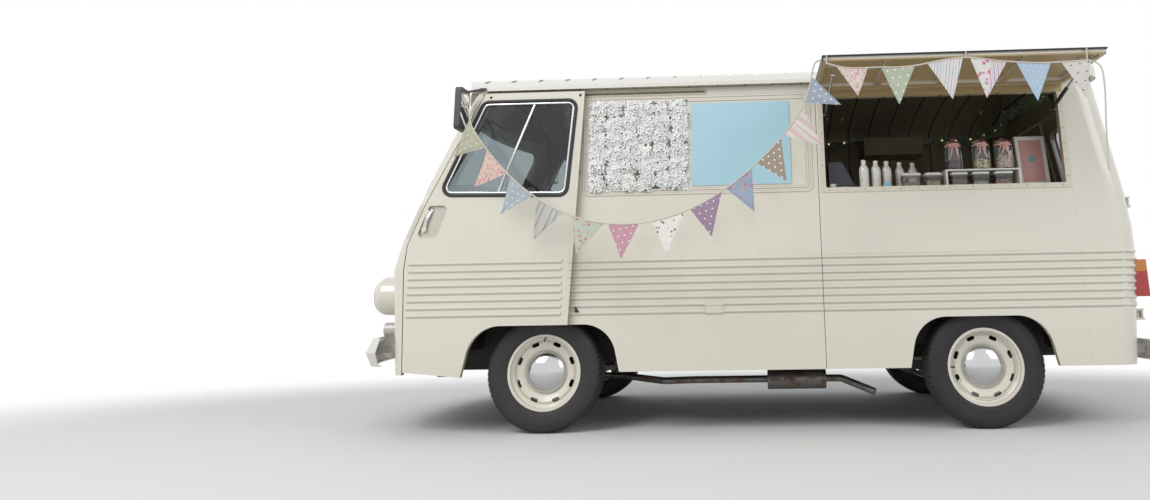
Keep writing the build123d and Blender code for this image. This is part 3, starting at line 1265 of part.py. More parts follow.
# Wipers, parked low on the windscreen
wipers = []
for middle_y in wiper_middles:
    blade_points = []
    for y in (middle_y - wiper_length / 2, middle_y, middle_y + wiper_length / 2):
        blade_points.append((nose_surface_x(y, wiper_z), y, wiper_z))
    path = ThreePointArc(*blade_points)
    blade = sweep(Plane(origin=blade_points[0], z_dir=path % 0) * Circle(wiper_radius), path=path)
    pivot_y = middle_y - wiper_length / 2 + 40
    pivot_x = nose_surface_x(pivot_y, wiper_pivot_z)
    pivot = rod((pivot_x - 16, pivot_y, wiper_pivot_z), (pivot_x + 30, pivot_y, wiper_pivot_z), 9)
    arm = rod((pivot_x - 12, pivot_y, wiper_pivot_z), blade_points[1], 4)
    wipers.append(blade + arm + (pivot - outer_nose))
save("wipers", *wipers)

# Bunting: two tapes, each a cord of straight runs joined by arcs, and their flags
side_route = side_start + [on_side_plane(*point) for point in side_middle] + side_end
lid_route_points = [(x, -lid_tape_y, z) for x, z in lid_route]
side_tape = cord(side_route, "side string")
lid_tape = cord(lid_route_points, "lid string")
save("side_string", side_tape)
save("lid_string", lid_tape)
side_flags = []
for start_x, end_x, tip_x, tip_z, blown in side_flag_table:
    on_plane = on_side_plane(tip_x, tip_z)
    side_flags.append(flag(side_route, start_x, end_x, (tip_x, on_plane[1] - blown, tip_z)) - side_tape)
save("side_flags", *side_flags)
lid_flags = []
for start_x, end_x, tip_x, tip_z, blown in lid_flag_table:
    lid_flags.append(flag(lid_route_points, start_x, end_x, (tip_x, -lid_tape_y - blown, tip_z)) - lid_tape)
for x in lid_eye_columns:
    tape_z = on_route(lid_route_points, x)[2]
    loop = block(x - loop_half, x + loop_half, -lid_tape_y - loop_half, -lid_tape_y + loop_half, tape_z,
                 lid_hinge_z + lid_eye_rise)
    ring = Pos(x, -lid_tape_y, lid_hinge_z + lid_eye_rise) * Rot(0, 90, 0) \
        * Cylinder(lid_eye_pin_radius + pin_gap + loop_wall, 2 * loop_half)
    hole = Pos(x, -lid_tape_y, lid_hinge_z + lid_eye_rise) * Rot(0, 90, 0) \
        * Cylinder(lid_eye_pin_radius + pin_gap, 4 * loop_half)
    lid_flags.append(loop + ring - hole - lid_tape)
save("lid_flags", *lid_flags)

print("centre_y", round(centre_y, 2), "lid hinge", round(-lid_hinge_y + centre_y, 2), lid_hinge_z)
print("strut open and closed", round(strut_open_length, 2), round(strut_closed_length, 2))
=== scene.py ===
# %% [markdown]
# # Ice cream truck: the looks around the packed model
# The packed CAD model is the fixed frame: nothing here moves it. This script gives its solids their
# finishes, replaces a few of them with finer pieces, and adds what is too soft or too small to draw.
# Sizes below are millimetres of the CAD drawing, which is about the truck's own centre plane; `mm`
# turns them into metres of the frame. In materials, lengths are metres of the frame.

# %% Load the frame
import json
import math
import random
import bmesh
import bpy
from mathutils import Matrix, Vector


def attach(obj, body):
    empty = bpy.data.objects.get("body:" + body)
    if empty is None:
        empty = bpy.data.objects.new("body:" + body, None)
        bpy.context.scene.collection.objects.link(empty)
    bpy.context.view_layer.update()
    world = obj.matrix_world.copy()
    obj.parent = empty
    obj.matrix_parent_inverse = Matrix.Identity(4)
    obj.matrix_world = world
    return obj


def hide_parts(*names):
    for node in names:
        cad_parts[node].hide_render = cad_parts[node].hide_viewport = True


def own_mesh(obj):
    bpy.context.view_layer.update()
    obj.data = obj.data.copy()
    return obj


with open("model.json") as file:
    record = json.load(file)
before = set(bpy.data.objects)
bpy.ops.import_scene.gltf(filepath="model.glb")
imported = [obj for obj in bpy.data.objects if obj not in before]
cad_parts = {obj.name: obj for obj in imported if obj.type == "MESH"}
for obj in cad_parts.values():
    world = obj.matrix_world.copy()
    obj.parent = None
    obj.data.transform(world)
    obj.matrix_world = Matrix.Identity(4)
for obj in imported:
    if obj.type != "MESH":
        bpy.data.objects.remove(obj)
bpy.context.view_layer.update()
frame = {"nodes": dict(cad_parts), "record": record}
centre_shift = 191.5  # the open lid counts in the width, so the truck's middle is beside the frame's
middle_y = centre_shift / 1000
front_axle, rear_axle, axle_height, half_track = -1150.0, 1350.0, 330.0, 815.0
body_sections = [(335, 48, 65), (920, 0, 2), (1080, 42, 0), (1290, 125, 20), (1975, 448, 138)]
bow_radius, nose_x, tail_x = 2290.0, -2244.0, 2270.0


def mm(point):
    """A point of the CAD drawing, in metres of the frame."""
    x, y, z = point
    return Vector((x, y + centre_shift, z)) / 1000


# %% [markdown]
# ## Camera
# The lens, place and direction were fitted to the photograph's known points. The photograph is the
# left part of a wider view, so the lens is shifted to its middle.

# %% Camera
photo_width, photo_height, focal_pixels = 1150.0, 500.0, 800.0
principal = (717.57, 119.08)
lens = bpy.data.cameras.new("camera")
lens.sensor_width = 36.0
lens.lens = lens.sensor_width * focal_pixels / photo_width
lens.shift_x = (photo_width / 2 - principal[0]) / photo_width
lens.shift_y = (principal[1] - photo_height / 2) / photo_width
camera = bpy.data.objects.new("camera", lens)
bpy.context.collection.objects.link(camera)
bpy.context.scene.camera = camera
turned_by = Matrix.Identity(3)
for degrees, axis in ((2.4108, "Z"), (12.5305, "X"), (1.0051, "Y")):
    turned_by = turned_by @ Matrix.Rotation(math.radians(degrees), 3, axis)
to_right, forward, up = (turned_by.col[i] for i in range(3))
camera.matrix_world = Matrix.Translation(mm((70.0, -5625.8, 737.0))) \
    @ Matrix((to_right, up, -forward)).transposed().to_4x4()
print("lens", round(lens.lens, 2), "shift", round(lens.shift_x, 4), round(lens.shift_y, 4))

# %% [markdown]
# ## Shader maths
# Paint, rubber and cloth differ over their surface, so each finish works its colour and roughness
# out from the place on the truck. `Wire` wraps an output socket, so that node arithmetic reads as
# plain arithmetic.

# %% Shader maths


class Wire:
    """An output socket that can be added, scaled and compared."""

    def __init__(self, finish, socket):
        self.finish, self.socket = finish, socket

    def maths(self, operation, other=0.0, reflected=False):
        """One maths node. reflected puts this wire second, for a number less a wire."""
        pair = {0: other, 1: self} if reflected else {0: self, 1: other}
        return self.finish.node("ShaderNodeMath", {"operation": operation}, pair)

    def __add__(self, other): return self.maths("ADD", other)
    def __radd__(self, other): return self.maths("ADD", other)
    def __sub__(self, other): return self.maths("SUBTRACT", other)
    def __rsub__(self, other): return self.maths("SUBTRACT", other, True)
    def __mul__(self, other): return self.maths("MULTIPLY", other)
    def __truediv__(self, other): return self.maths("DIVIDE", other)
    def __mod__(self, other): return self.maths("FLOORED_MODULO", other)
    def __pow__(self, other): return self.maths("POWER", other)
    def __gt__(self, other): return self.maths("GREATER_THAN", other)
    def __lt__(self, other): return self.maths("LESS_THAN", other)
    def __or__(self, other): return self.maths("MAXIMUM", other)
    def __abs__(self): return self.maths("ABSOLUTE")
    def sine(self): return self.maths("SINE")
    def floor(self): return self.maths("FLOOR")

    def within(self, low, high):
        """1 between two values, else 0."""
        return (self > low) * (self < high)


print("wire operations", sum(name.startswith("__") for name in vars(Wire)))

# %% [markdown]
# ## One finish
# A `Finish` is one material. Every node comes from `Finish.node`, which takes the type, its settings
# and then its socket values, and `done` joins the shader at the end.

# %% One finish


class Finish:
    """One material: its nodes, its coordinates and its shader."""

    def __init__(self, name):
        self.material = bpy.data.materials.new(name)
        self.material.use_nodes = True
        self.tree = self.material.node_tree
        self.tree.nodes.clear()
        self.place = self.node("ShaderNodeTexCoord", out="Object")
        self.facing = self.node("ShaderNodeTexCoord", out="Normal")
        self.x, self.y, self.z = (self.split(self.place, i) for i in range(3))
        self.nx, self.ny, self.nz = (self.split(self.facing, i) for i in range(3))

    def node(self, kind, settings=None, values=None, out=0):
        """Any node: its type, its settings, its socket values and which output is wanted."""
        made = self.tree.nodes.new(kind)
        for key, value in (settings or {}).items():
            setattr(made, key, value)
        for key, value in (values or {}).items():
            self.join(made.inputs[key], value)
        return Wire(self, made.outputs[out])

    def join(self, socket, value):
        """Links a wire to a socket, or sets the socket to a number or a colour."""
        if isinstance(value, Wire):
            self.tree.links.new(value.socket, socket)
        elif hasattr(value, "__len__") and len(value) == 3 and socket.type == "RGBA":
            socket.default_value = (*value, 1.0)
        else:
            socket.default_value = value

    def split(self, vector, index):
        """One part of a vector."""
        return self.node("ShaderNodeSeparateXYZ", values={0: vector}, out=index)

    def vector(self, x, y, z):
        """A vector from three numbers or wires."""
        return self.node("ShaderNodeCombineXYZ", values={0: x, 1: y, 2: z})

    def noise(self, scale, detail=3.0, rough=0.5, vector=None):
        """Cloudy noise from 0 to 1, with scale in waves a metre."""
        return self.node("ShaderNodeTexNoise", values={"Vector": vector or self.place, "Scale": scale,
                                                      "Detail": detail, "Roughness": rough})

    def cells(self, scale, out="Distance", vector=None):
        """Cells like pebbles: the distance from each middle, or the cell's own colour."""
        return self.node("ShaderNodeTexVoronoi", {"feature": "F1"},
                         {"Vector": vector or self.place, "Scale": scale}, out)

    def ramp(self, value, low, high):
        """0 at low, 1 at high, smooth between."""
        return self.node("ShaderNodeMapRange", {"interpolation_type": "SMOOTHSTEP"},
                         {"Value": value, "From Min": low, "From Max": high})

    def mix(self, first, second, factor):
        """The first colour at 0 and the second at 1."""
        made = self.tree.nodes.new("ShaderNodeMix")
        made.data_type = "RGBA"
        self.join(made.inputs[0], factor)
        self.join(made.inputs[6], first)
        self.join(made.inputs[7], second)
        return Wire(self, made.outputs[2])

    def around(self, x, z):
        """The distance from an axle that runs along Y, in metres."""
        return ((self.x - x) ** 2.0 + (self.z - z) ** 2.0) ** 0.5

    def done(self, height=None, **sockets):
        """Joins the shader and the surface's height in metres, and returns the material."""
        made = self.tree.nodes.new("ShaderNodeBsdfPrincipled")
        for name, value in sockets.items():
            self.join(made.inputs[name.replace("_", " ")], value)
        if height is not None:
            bump = self.node("ShaderNodeBump", values={"Height": height, "Distance": 1.0})
            self.join(made.inputs["Normal"], bump)
        end = self.tree.nodes.new("ShaderNodeOutputMaterial")
        self.tree.links.new(made.outputs[0], end.inputs[0])
        return self.material


print("finish class ready")

# %% [markdown]
# ## Shades that several pieces share
# The cream of the shell, the same cream where it has dulled, the tan of the lining, the stained tan
# under the lid, and road dust.

# %% Shades
cream = (0.70, 0.665, 0.575)
cream_low = (0.64, 0.60, 0.51)
tan = (0.44, 0.365, 0.245)
lid_tan = (0.44, 0.325, 0.165)
dust = (0.42, 0.37, 0.29)
print("cream", cream, "tan", tan)

# %% [markdown]
# ## Paint of the shell
# Sprayed steel panels: a gloss coat with a faint orange peel, dust low down and a lining on the faces
# that look into the load space. The ribs, creases and pockets are real in the mesh; along the ribs and
# creases thin dark lines of painted shade are drawn here, and the pockets get a painted shade too.

# %% Body paint
rib_low, rib_high, rib_pitch = 0.643, 0.972, 0.042
panel_out, door_out = 0.9565, 0.9975
pressed_middle, pressed_half, pressed_corner = (-0.2525, 1.626), (0.6375, 0.256), 0.040
crease_lines = ((0.0, 0.005), (-0.012, -0.009), (-0.024, -0.021), (-0.038, -0.033))


def paint(name, colour=cream, lined=False, grime=1.0):
    """Gloss body paint. lined gives the inward faces of a shell a tan lining with dark roof ribs."""
    f = Finish(name)
    patchy = f.noise(2.2, 4.0, 0.6)
    fine = f.noise(38.0, 4.0, 0.65)
    low = f.ramp(f.z, 0.85, 0.28) * grime
    shade = f.mix(colour, cream_low if colour == cream else tuple(c * 0.9 for c in colour), patchy * 0.55)
    specks = f.ramp(fine, 0.52, 0.78) * low
    shade = f.mix(shade, dust, specks * 0.22 + low * 0.10)
    out_from_middle = abs(f.y - middle_y)
    beside = (out_from_middle > panel_out) * ((f.x < -1.04) | (f.x > -0.992)) * (f.x > -1.93)
    ribbed = f.z.within(rib_low, rib_high) * (beside | (f.x > 2.16))
    # Painted shade: dark lines under and over each rib, where its folds fall into shadow.
    shaded_under_rib = (((f.z - rib_low) % rib_pitch) < 0.0085) * ribbed
    shaded_over_rib = (((f.z - rib_low - 0.026) % rib_pitch) < 0.0035) * ribbed
    shade = f.mix(shade, (0.24, 0.215, 0.17), shaded_under_rib * (0.30 + fine * 0.25) + shaded_over_rib * 0.14)
    # Painted shade: thin dark lines along the creases round the pressed panel.
    over_x = abs(f.x - pressed_middle[0]) - pressed_half[0]
    over_z = abs(f.z - pressed_middle[1]) - pressed_half[1]
    away = ((over_x | 0.0) ** 2.0 + (over_z | 0.0) ** 2.0) ** 0.5 - pressed_corner
    creases = sum(away.within(low_edge, high_edge) for low_edge, high_edge in crease_lines)
    creases = creases * out_from_middle.within(panel_out, panel_out + 0.010)
    shade = f.mix(shade, (0.26, 0.235, 0.19), creases * (0.22 + fine * 0.2))
    # Painted shade over the recessed handle pocket.
    pocket = out_from_middle.within(0.975, door_out) * f.z.within(1.10, 1.292) * (f.x < -1.71)
    shade = f.mix(shade, (0.40, 0.37, 0.31), pocket * 0.45)
    behind_lid = f.x.within(0.470, 1.910) * f.z.within(1.884, 1.958) * (f.y < -0.70)
    shade = f.mix(shade, lid_tan, behind_lid)
    rough = 0.24 + low * fine * 0.35 + patchy * 0.08
    peel = f.noise(420.0, 1.0) * 0.00003
    wave = f.noise(3.1, 1.0) * 0.0012
    height = peel + wave
    if lined:
        inward = (f.nx * f.x / 5.0 + f.ny * (f.y - middle_y) + f.nz * (f.z - 1.1)) < -0.05
        weave = f.noise(260.0, 3.0, 0.7)
        rib = abs((f.x + 0.04) % 0.166 - 0.083) < 0.006
        rib = rib * (f.z > 1.45)
        cloth = f.mix(tan, tuple(c * 0.72 for c in tan), weave)
        cloth = f.mix(cloth, (0.05, 0.035, 0.025), rib * 0.85)
        shade = f.mix(shade, cloth, inward)
        rough = rough + inward * 0.45
        height = height + inward * weave * 0.0004 - rib * inward * 0.003
    return f.done(height, Base_Color=shade, Roughness=rough, Coat_Weight=0.55, Coat_Roughness=0.06)


print("ribs from", rib_low, "to", rib_high, "every", rib_pitch)

# %% [markdown]
# ## Plain, brushed and clear surfaces
# Most fittings are one stuff with a grain: castings, trim, boards and rubber. The grille and window
# rings are drawn metal with fine lines, and the glass has faint smears. Three makers cover them all.

# %% Plain, brushed and clear


def plain(name, colour, rough, metal=0.0, coat=0.0, grain=120.0, depth=0.0002, spread=0.25, **more):
    """A worked surface: colour and roughness vary with a grain that also stands proud by depth."""
    f = Finish(name)
    fine = f.noise(grain, 5.0, 0.65)
    broad = f.noise(grain / 18.0, 3.0, 0.6)
    worn = fine * 0.6 + broad * 0.4
    shade = f.mix(tuple(c * (1 - spread) for c in colour),
                  tuple(min(1.0, c * (1 + spread)) for c in colour), worn)
    return f.done(fine * depth, Base_Color=shade, Roughness=rough - 0.1 + worn * 0.2, Metallic=metal,
                  Coat_Weight=coat, **more)


def brushed(name, colour, rough, along="x", metal=1.0):
    """Metal with fine lines along one axis."""
    f = Finish(name)
    squeeze = {"x": (3.0, 900.0, 900.0), "y": (900.0, 3.0, 900.0), "z": (900.0, 900.0, 3.0)}[along]
    lines = f.noise(1.0, 3.0, 0.6, f.vector(f.x * squeeze[0], f.y * squeeze[1], f.z * squeeze[2]))
    broad = f.noise(7.0, 3.0)
    shade = f.mix(tuple(c * 0.8 for c in colour), colour, lines)
    return f.done(lines * 0.00002, Base_Color=shade, Roughness=rough - 0.08 + lines * 0.1 + broad * 0.08,
                  Metallic=metal)


def clear(name, tint=(0.94, 0.97, 0.96), rough=0.01):
    """Glass with faint smears."""
    f = Finish(name)
    smear = f.noise(9.0, 4.0, 0.7)
    return f.done(f.noise(2.0, 1.0) * 0.0002, Base_Color=tint,
                  Roughness=rough + f.ramp(smear, 0.55, 0.9) * 0.05,
                  Transmission_Weight=1.0, IOR=1.45)


print("three makers ready")

# %% [markdown]
# ## Wheels and tyres
# A pressed steel wheel is welded to its rim, so a fine dark line runs round it. A tyre has moulded
# rings on its wall, finer than the mesh. Both are worked out from the distance to the axle.

# %% Wheels and tyres


def wheel_paint():
    """Cream rims, darker and dusty inside, with a fine line where the disc is welded to the rim."""
    f = Finish("wheel_paint")
    hub_x = f.mix((front_axle / 1000,) * 3, (rear_axle / 1000,) * 3, f.x > 0.0)
    spread = f.around(f.split(hub_x, 0), axle_height / 1000)
    inner = abs(f.y - middle_y) < 0.800
    seam = abs(spread - 0.1835) < 0.0012
    fine = f.noise(60.0, 4.0, 0.7)
    shade = f.mix(cream, cream_low, f.noise(6.0, 3.0))
    shade = f.mix(shade, dust, f.ramp(fine, 0.55, 0.8) * 0.35)
    shade = f.mix(shade, (0.10, 0.085, 0.065), inner * 0.8)
    shade = f.mix(shade, (0.06, 0.05, 0.04), seam * 0.8)
    return f.done(f.noise(300.0, 1.0) * 0.00004, Base_Color=shade, Roughness=0.30 + fine * 0.18,
                  Coat_Weight=0.4, Coat_Roughness=0.08)


def tyre_rubber():
    """Matt black rubber with moulded rings on the wall and grey dust in the tread."""
    f = Finish("tyre_rubber")
    hub_x = f.mix((front_axle / 1000,) * 3, (rear_axle / 1000,) * 3, f.x > 0.0)
    spread = f.around(f.split(hub_x, 0), axle_height / 1000)
    wall = spread < 0.318
    rings = (spread * 2 * math.pi / 0.0045).sine()
    ringed = (abs(spread - 0.292) < 0.010) | (abs(spread - 0.236) < 0.006)
    dusty = f.ramp(f.noise(14.0, 5.0, 0.7), 0.42, 0.75)
    shade = f.mix((0.013, 0.013, 0.015), (0.060, 0.055, 0.048), dusty * 0.40 + (1.0 - wall) * 0.15)
    return f.done(rings * ringed * 0.0004 + f.noise(420.0, 3.0) * 0.0002, Base_Color=shade,
                  Roughness=0.62 + dusty * 0.25)


print("axles at", front_axle, rear_axle)

# %% [markdown]
# ## Lid and lamps
# The lid is cream above and stained tan below, with a black rubber edge. The lamp pods are pressed
# steel in body colour, with a ribbed lens let into the front. The tail lamps are two-colour plastic.

# %% Lid and lamps
prism = 0.006


def lid_paint():
    """Cream on top, tan below with faint stains, black rubber round the edge."""
    f = Finish("lid_paint")
    below = (f.nz < -0.2) | (f.z < 1.9425)
    edge = (f.x < 0.462) | (f.x > 1.916) | (f.y < (-1579.0 + centre_shift) / 1000)
    edge = edge * (abs(f.nz) < 0.7)
    stain = f.noise(5.0, 4.0, 0.6)
    under = f.mix(lid_tan, (0.35, 0.25, 0.12), stain)
    shade = f.mix(f.mix(cream, cream_low, stain), under, below)
    shade = f.mix(shade, (0.012, 0.013, 0.018), edge)
    return f.done(f.noise(300.0, 2.0) * 0.0001, Base_Color=shade, Roughness=0.34 + below * 0.2 + edge * 0.15,
                  Coat_Weight=0.2)


def lamp_pod():
    """Cream pods: the lens in front is a clear ribbed glass over a bright bowl."""
    f = Finish("lamp_pod")
    away = ((abs(f.y - middle_y) - 0.700) ** 2.0 + (f.z - 0.777) ** 2.0) ** 0.5
    lens_face = (away < 0.089) * (f.x < -2.19)
    seam = abs(away - 0.0915) < 0.0025
    ribs = (f.y * 2 * math.pi / 0.009).sine()
    shade = f.mix(f.mix(cream, cream_low, f.noise(8.0)), (0.72, 0.75, 0.77), lens_face)
    shade = f.mix(shade, (0.04, 0.04, 0.04), seam * 0.9)
    return f.done(ribs * lens_face * 0.0007 + f.noise(300.0) * 0.00004, Base_Color=shade,
                  Roughness=0.3 - lens_face * 0.24, Metallic=lens_face * 0.75, Coat_Weight=0.8,
                  Coat_Roughness=0.03)


def signal_plastic():
    """Front domes clear white; tail lamps amber above and red below, with moulded prisms."""
    f = Finish("signal_plastic")
    rear = f.x > 0.0
    amber = f.z > 0.84
    shade = f.mix((0.62, 0.60, 0.56), f.mix((0.42, 0.012, 0.010), (0.62, 0.19, 0.015), amber), rear)
    prisms = (f.y * 2 * math.pi / prism).sine() * (f.z * 2 * math.pi / prism).sine()
    return f.done(prisms * 0.0004, Base_Color=f.mix(shade, (0.02, 0.01, 0.01), f.noise(30.0) * 0.12),
                  Roughness=0.12 + f.noise(40.0) * 0.06, Coat_Weight=0.7, Transmission_Weight=0.15)


print("prisms every", prism)

# %% [markdown]
# ## Boards and the blank sign
# The fitting-out is painted board: grain along each board and a dark joint between two. The sign is a
# printed sheet over a faint canvas, blank here.

# %% Boards and sign
canvas_pitch = 0.0022


def display_white():
    """White painted boards, yellower in the pores."""
    f = Finish("display_white")
    grain = f.noise(1.0, 4.0, 0.6, f.vector(f.x * 14.0, f.y * 60.0, f.z * 220.0))
    shade = f.mix((0.70, 0.68, 0.62), (0.56, 0.52, 0.44), f.ramp(grain, 0.5, 0.85))
    return f.done(grain * 0.0003, Base_Color=shade, Roughness=0.42 + grain * 0.15)


def counter_wood():
    """Cream laminate on top and painted boards below."""
    f = Finish("counter_wood")
    flat = f.nz > 0.7
    marks = f.noise(11.0, 5.0, 0.7)
    boards = abs((f.x + 0.03) % 0.11 - 0.055) > 0.053
    shade = f.mix(f.mix((0.50, 0.45, 0.35), (0.40, 0.34, 0.25), marks), (0.62, 0.58, 0.49), flat)
    shade = f.mix(shade, (0.14, 0.11, 0.08), boards * (1.0 - flat) * 0.7)
    return f.done(marks * 0.0002 - boards * (1.0 - flat) * 0.002, Base_Color=shade,
                  Roughness=0.38 + marks * 0.2)


def panel_wood():
    """Tan painted boards of the bulkhead, the far cabinets and the wall box, with joints."""
    f = Finish("panel_wood")
    marks = f.noise(1.0, 4.0, 0.6, f.vector(f.x * 8.0, f.y * 8.0, f.z * 90.0))
    joint = abs((f.x + 0.3) % 0.575 - 0.2875) > 0.2855
    shade = f.mix((0.47, 0.37, 0.20), (0.37, 0.285, 0.15), marks)
    shade = f.mix(shade, (0.05, 0.035, 0.02), joint * (f.z < 1.33) * 0.8)
    return f.done(marks * 0.0003 - joint * 0.0015, Base_Color=shade, Roughness=0.5 + marks * 0.15)


def sign_face():
    """A pale blue printed sheet, blank, with a faint canvas and softer corners."""
    f = Finish("sign_face")
    canvas = (f.x * 2 * math.pi / canvas_pitch).sine() * (f.z * 2 * math.pi / canvas_pitch).sine()
    cloud = f.noise(4.0, 3.0)
    shade = f.mix((0.36, 0.59, 0.67), (0.41, 0.63, 0.71), cloud)
    return f.done(canvas * 0.00006 + f.noise(5.0, 2.0) * 0.0008, Base_Color=shade,
                  Roughness=0.45 + cloud * 0.1)


print("canvas every", canvas_pitch)

# %% [markdown]
# ## Exhaust, mirrors and vinyl
# Exhaust steel rusts in patches. The mirror's plastic head carries the silvered glass, told apart by
# the way it faces. Seat vinyl is pebbled, which is too fine for the mesh.

# %% Exhaust, mirrors and vinyl


def hot_steel():
    """Exhaust steel: rust in patches over dull grey."""
    f = Finish("hot_steel")
    rust = f.ramp(f.noise(16.0, 6.0, 0.7), 0.42, 0.66)
    fine = f.noise(140.0, 4.0, 0.7)
    shade = f.mix((0.17, 0.165, 0.16), f.mix((0.16, 0.075, 0.035), (0.09, 0.05, 0.03), fine), rust)
    return f.done(fine * 0.0003 + rust * 0.0002, Base_Color=shade, Roughness=0.38 + rust * 0.4,
                  Metallic=0.9 - rust * 0.8)


def mirror_head():
    """A grey-brown plastic head with a silvered face towards the driver."""
    f = Finish("mirror_head")
    glass = (f.nx > 0.85) * abs(f.y - middle_y).within(1.052, 1.178) * f.z.within(1.724, 1.950)
    fine = f.noise(180.0, 3.0, 0.7)
    shade = f.mix(f.mix((0.035, 0.035, 0.038), (0.06, 0.055, 0.05), fine), (0.86, 0.88, 0.88), glass)
    return f.done(fine * (1.0 - glass) * 0.0002, Base_Color=shade, Roughness=0.45 - glass * 0.43,
                  Metallic=glass)


def vinyl(name="vinyl", colour=(0.085, 0.040, 0.022)):
    """Pebbled brown vinyl."""
    f = Finish(name)
    pebble = f.cells(420.0)
    worn = f.noise(7.0, 4.0, 0.6)
    shade = f.mix(colour, tuple(c * 1.7 for c in colour), worn * 0.6 + pebble * 0.2)
    return f.done(pebble * 0.0004, Base_Color=shade, Roughness=0.42 + worn * 0.18, Sheen_Weight=0.1)


print("single finishes ready")

# %% [markdown]
# ## One finish for each slot of the record
# The record names a material slot for each solid. The plain ones differ by a few numbers, so they
# are made in the table itself. Chrome and rubber have a name, because the fittings below use them.

# %% Finishes by slot
black_rubber = plain("black_rubber", (0.014, 0.014, 0.016), 0.5, grain=260.0)
bright_metal = brushed("bright_metal", (0.78, 0.79, 0.80), 0.20)
chrome = plain("chrome", (0.60, 0.61, 0.62), 0.13, metal=1.0, grain=40.0, depth=0.00001, spread=0.04)
looks = {
    "cream_paint": paint("body_paint", lined=True),
    "cream_roof": paint("roof_paint", (0.72, 0.70, 0.64), True, 0.2),
    "lid_paint": lid_paint(),
    "trim_cream": paint("trim_paint", (0.64, 0.60, 0.49)),
    "bumper_white": paint("bumper_paint", (0.72, 0.71, 0.68)),
    "chassis_dark": plain("chassis", (0.03, 0.028, 0.026), 0.65, grain=50.0),
    "cast_dark": plain("cast_iron", (0.055, 0.05, 0.046), 0.62, metal=0.6, grain=90.0, depth=0.0008),
    "exhaust_steel": hot_steel(),
    "grille_metal": brushed("grille_metal", (0.62, 0.62, 0.61), 0.28, "y"),
    "wheel_cream": wheel_paint(),
    "tyre_black": tyre_rubber(),
    # The window glass is tinted darker as painted shade, for the dark cab seen through it.
    "clear_glass": clear("window_glass", (0.50, 0.55, 0.56)),
    "lamp_pod": lamp_pod(),
    "lamp_plastic": signal_plastic(),
    "mirror_black": mirror_head(),
    "rubber_black": black_rubber,
    "dash_brown": plain("dash_plastic", (0.045, 0.038, 0.032), 0.5, grain=220.0),
    "seat_vinyl": vinyl("seat_box"),
    "cover_felt": plain("engine_felt", (0.03, 0.03, 0.03), 0.8, grain=300.0, depth=0.0008),
    "panel_wood": panel_wood(),
    "counter_wood": counter_wood(),
    "display_white": display_white(),
    "ware_white": plain("ware", (0.68, 0.67, 0.63), 0.25, grain=60.0, depth=0.00005, spread=0.05),
    "flower_white": plain("flower_board", (0.10, 0.13, 0.075), 0.7, grain=90.0, depth=0.001),
    "sign_blue": sign_face(),
    "rail_steel": plain("rail_paint", (0.50, 0.46, 0.36), 0.4, coat=0.3),
    "strut_black": plain("strut_black", (0.022, 0.022, 0.022), 0.35, coat=0.3, spread=0.3),
    "rod_chrome": chrome,
    "tape_cotton": plain("tape_plain", (0.60, 0.54, 0.42), 0.8),
    "flag_cotton": plain("flag_plain", (0.6, 0.55, 0.5), 0.8),
}
for part in frame["record"]["subparts"]:
    node = frame["nodes"][part["node"]]
    if not node.material_slots:
        node.data.materials.append(None)
    for place in node.material_slots:
        place.material = looks[part["material_slot"]]
print("materials", len(looks))

# %% [markdown]
# ## Floor
# A pale painted floor that fades out before its edge, so that it ends in no line.

# %% Floor
floor_finish = Finish("floor")
span = (floor_finish.x ** 2.0 / 30.0 + (floor_finish.y + 0.6) ** 2.0 / 12.0) ** 0.5
grit = floor_finish.noise(90.0, 4.0, 0.6)
floor_finish.done(grit * 0.0004, Base_Color=floor_finish.mix((0.70, 0.70, 0.69), (0.78, 0.78, 0.77), grit),
                  Roughness=0.85, Alpha=floor_finish.ramp(span, 1.25, 0.75))
floor_mesh = bpy.data.meshes.new("floor")
floor_mesh.from_pydata([(-14, -9, 0), (14, -9, 0), (14, 9, 0), (-14, 9, 0)], [], [(0, 1, 2, 3)])
floor_mesh.materials.append(floor_finish.material)
floor = bpy.data.objects.new("floor", floor_mesh)
bpy.context.collection.objects.link(floor)
print("floor faces", len(floor_mesh.polygons))

# %% [markdown]
# ## Backdrop
# The camera, mirrors and glass see plain white, and the object is lit by a softer, cooler sky, so
# that pale paint keeps its shade.

# %% Backdrop
bpy.context.scene.view_settings.view_transform = "Standard"
world = bpy.data.worlds.new("studio")
bpy.context.scene.world = world
world.use_nodes = True
sky = world.node_tree.nodes
sky.clear()
white, soft, chooser, either, third, sky_end, ray = (sky.new(kind) for kind in (
    "ShaderNodeBackground", "ShaderNodeBackground", "ShaderNodeMixShader", "ShaderNodeMath", "ShaderNodeMath",
    "ShaderNodeOutputWorld", "ShaderNodeLightPath"))
white.inputs[0].default_value = (1, 1, 1, 1)
soft.inputs[0].default_value = (0.93, 0.96, 1.0, 1)
soft.inputs[1].default_value = 0.62
either.operation = third.operation = "MAXIMUM"
wires = world.node_tree.links
wires.new(ray.outputs["Is Camera Ray"], either.inputs[0])
wires.new(ray.outputs["Is Glossy Ray"], either.inputs[1])
wires.new(either.outputs[0], third.inputs[0])
wires.new(ray.outputs["Is Transmission Ray"], third.inputs[1])
wires.new(third.outputs[0], chooser.inputs[0])
wires.new(soft.outputs[0], chooser.inputs[1])
wires.new(white.outputs[0], chooser.inputs[2])
wires.new(chooser.outputs[0], sky_end.inputs[0])


print("sky strength", round(soft.inputs[1].default_value, 2))

# %% [markdown]
# ## Lamps
# A large key lamp stands high at the front left, and a weak one opens up the tail side.

# %% Lamps


def lamp(name, place, target, power, size, colour=(1.0, 0.985, 0.96)):
    """A large soft area light that looks at a point."""
    data = bpy.data.lights.new(name, "AREA")
    data.energy, data.size, data.color = power, size, colour
    made = bpy.data.objects.new(name, data)
    bpy.context.collection.objects.link(made)
    place, target = Vector(place), Vector(target)
    made.matrix_world = Matrix.Translation(place) \
        @ (target - place).to_track_quat("-Z", "Y").to_matrix().to_4x4()


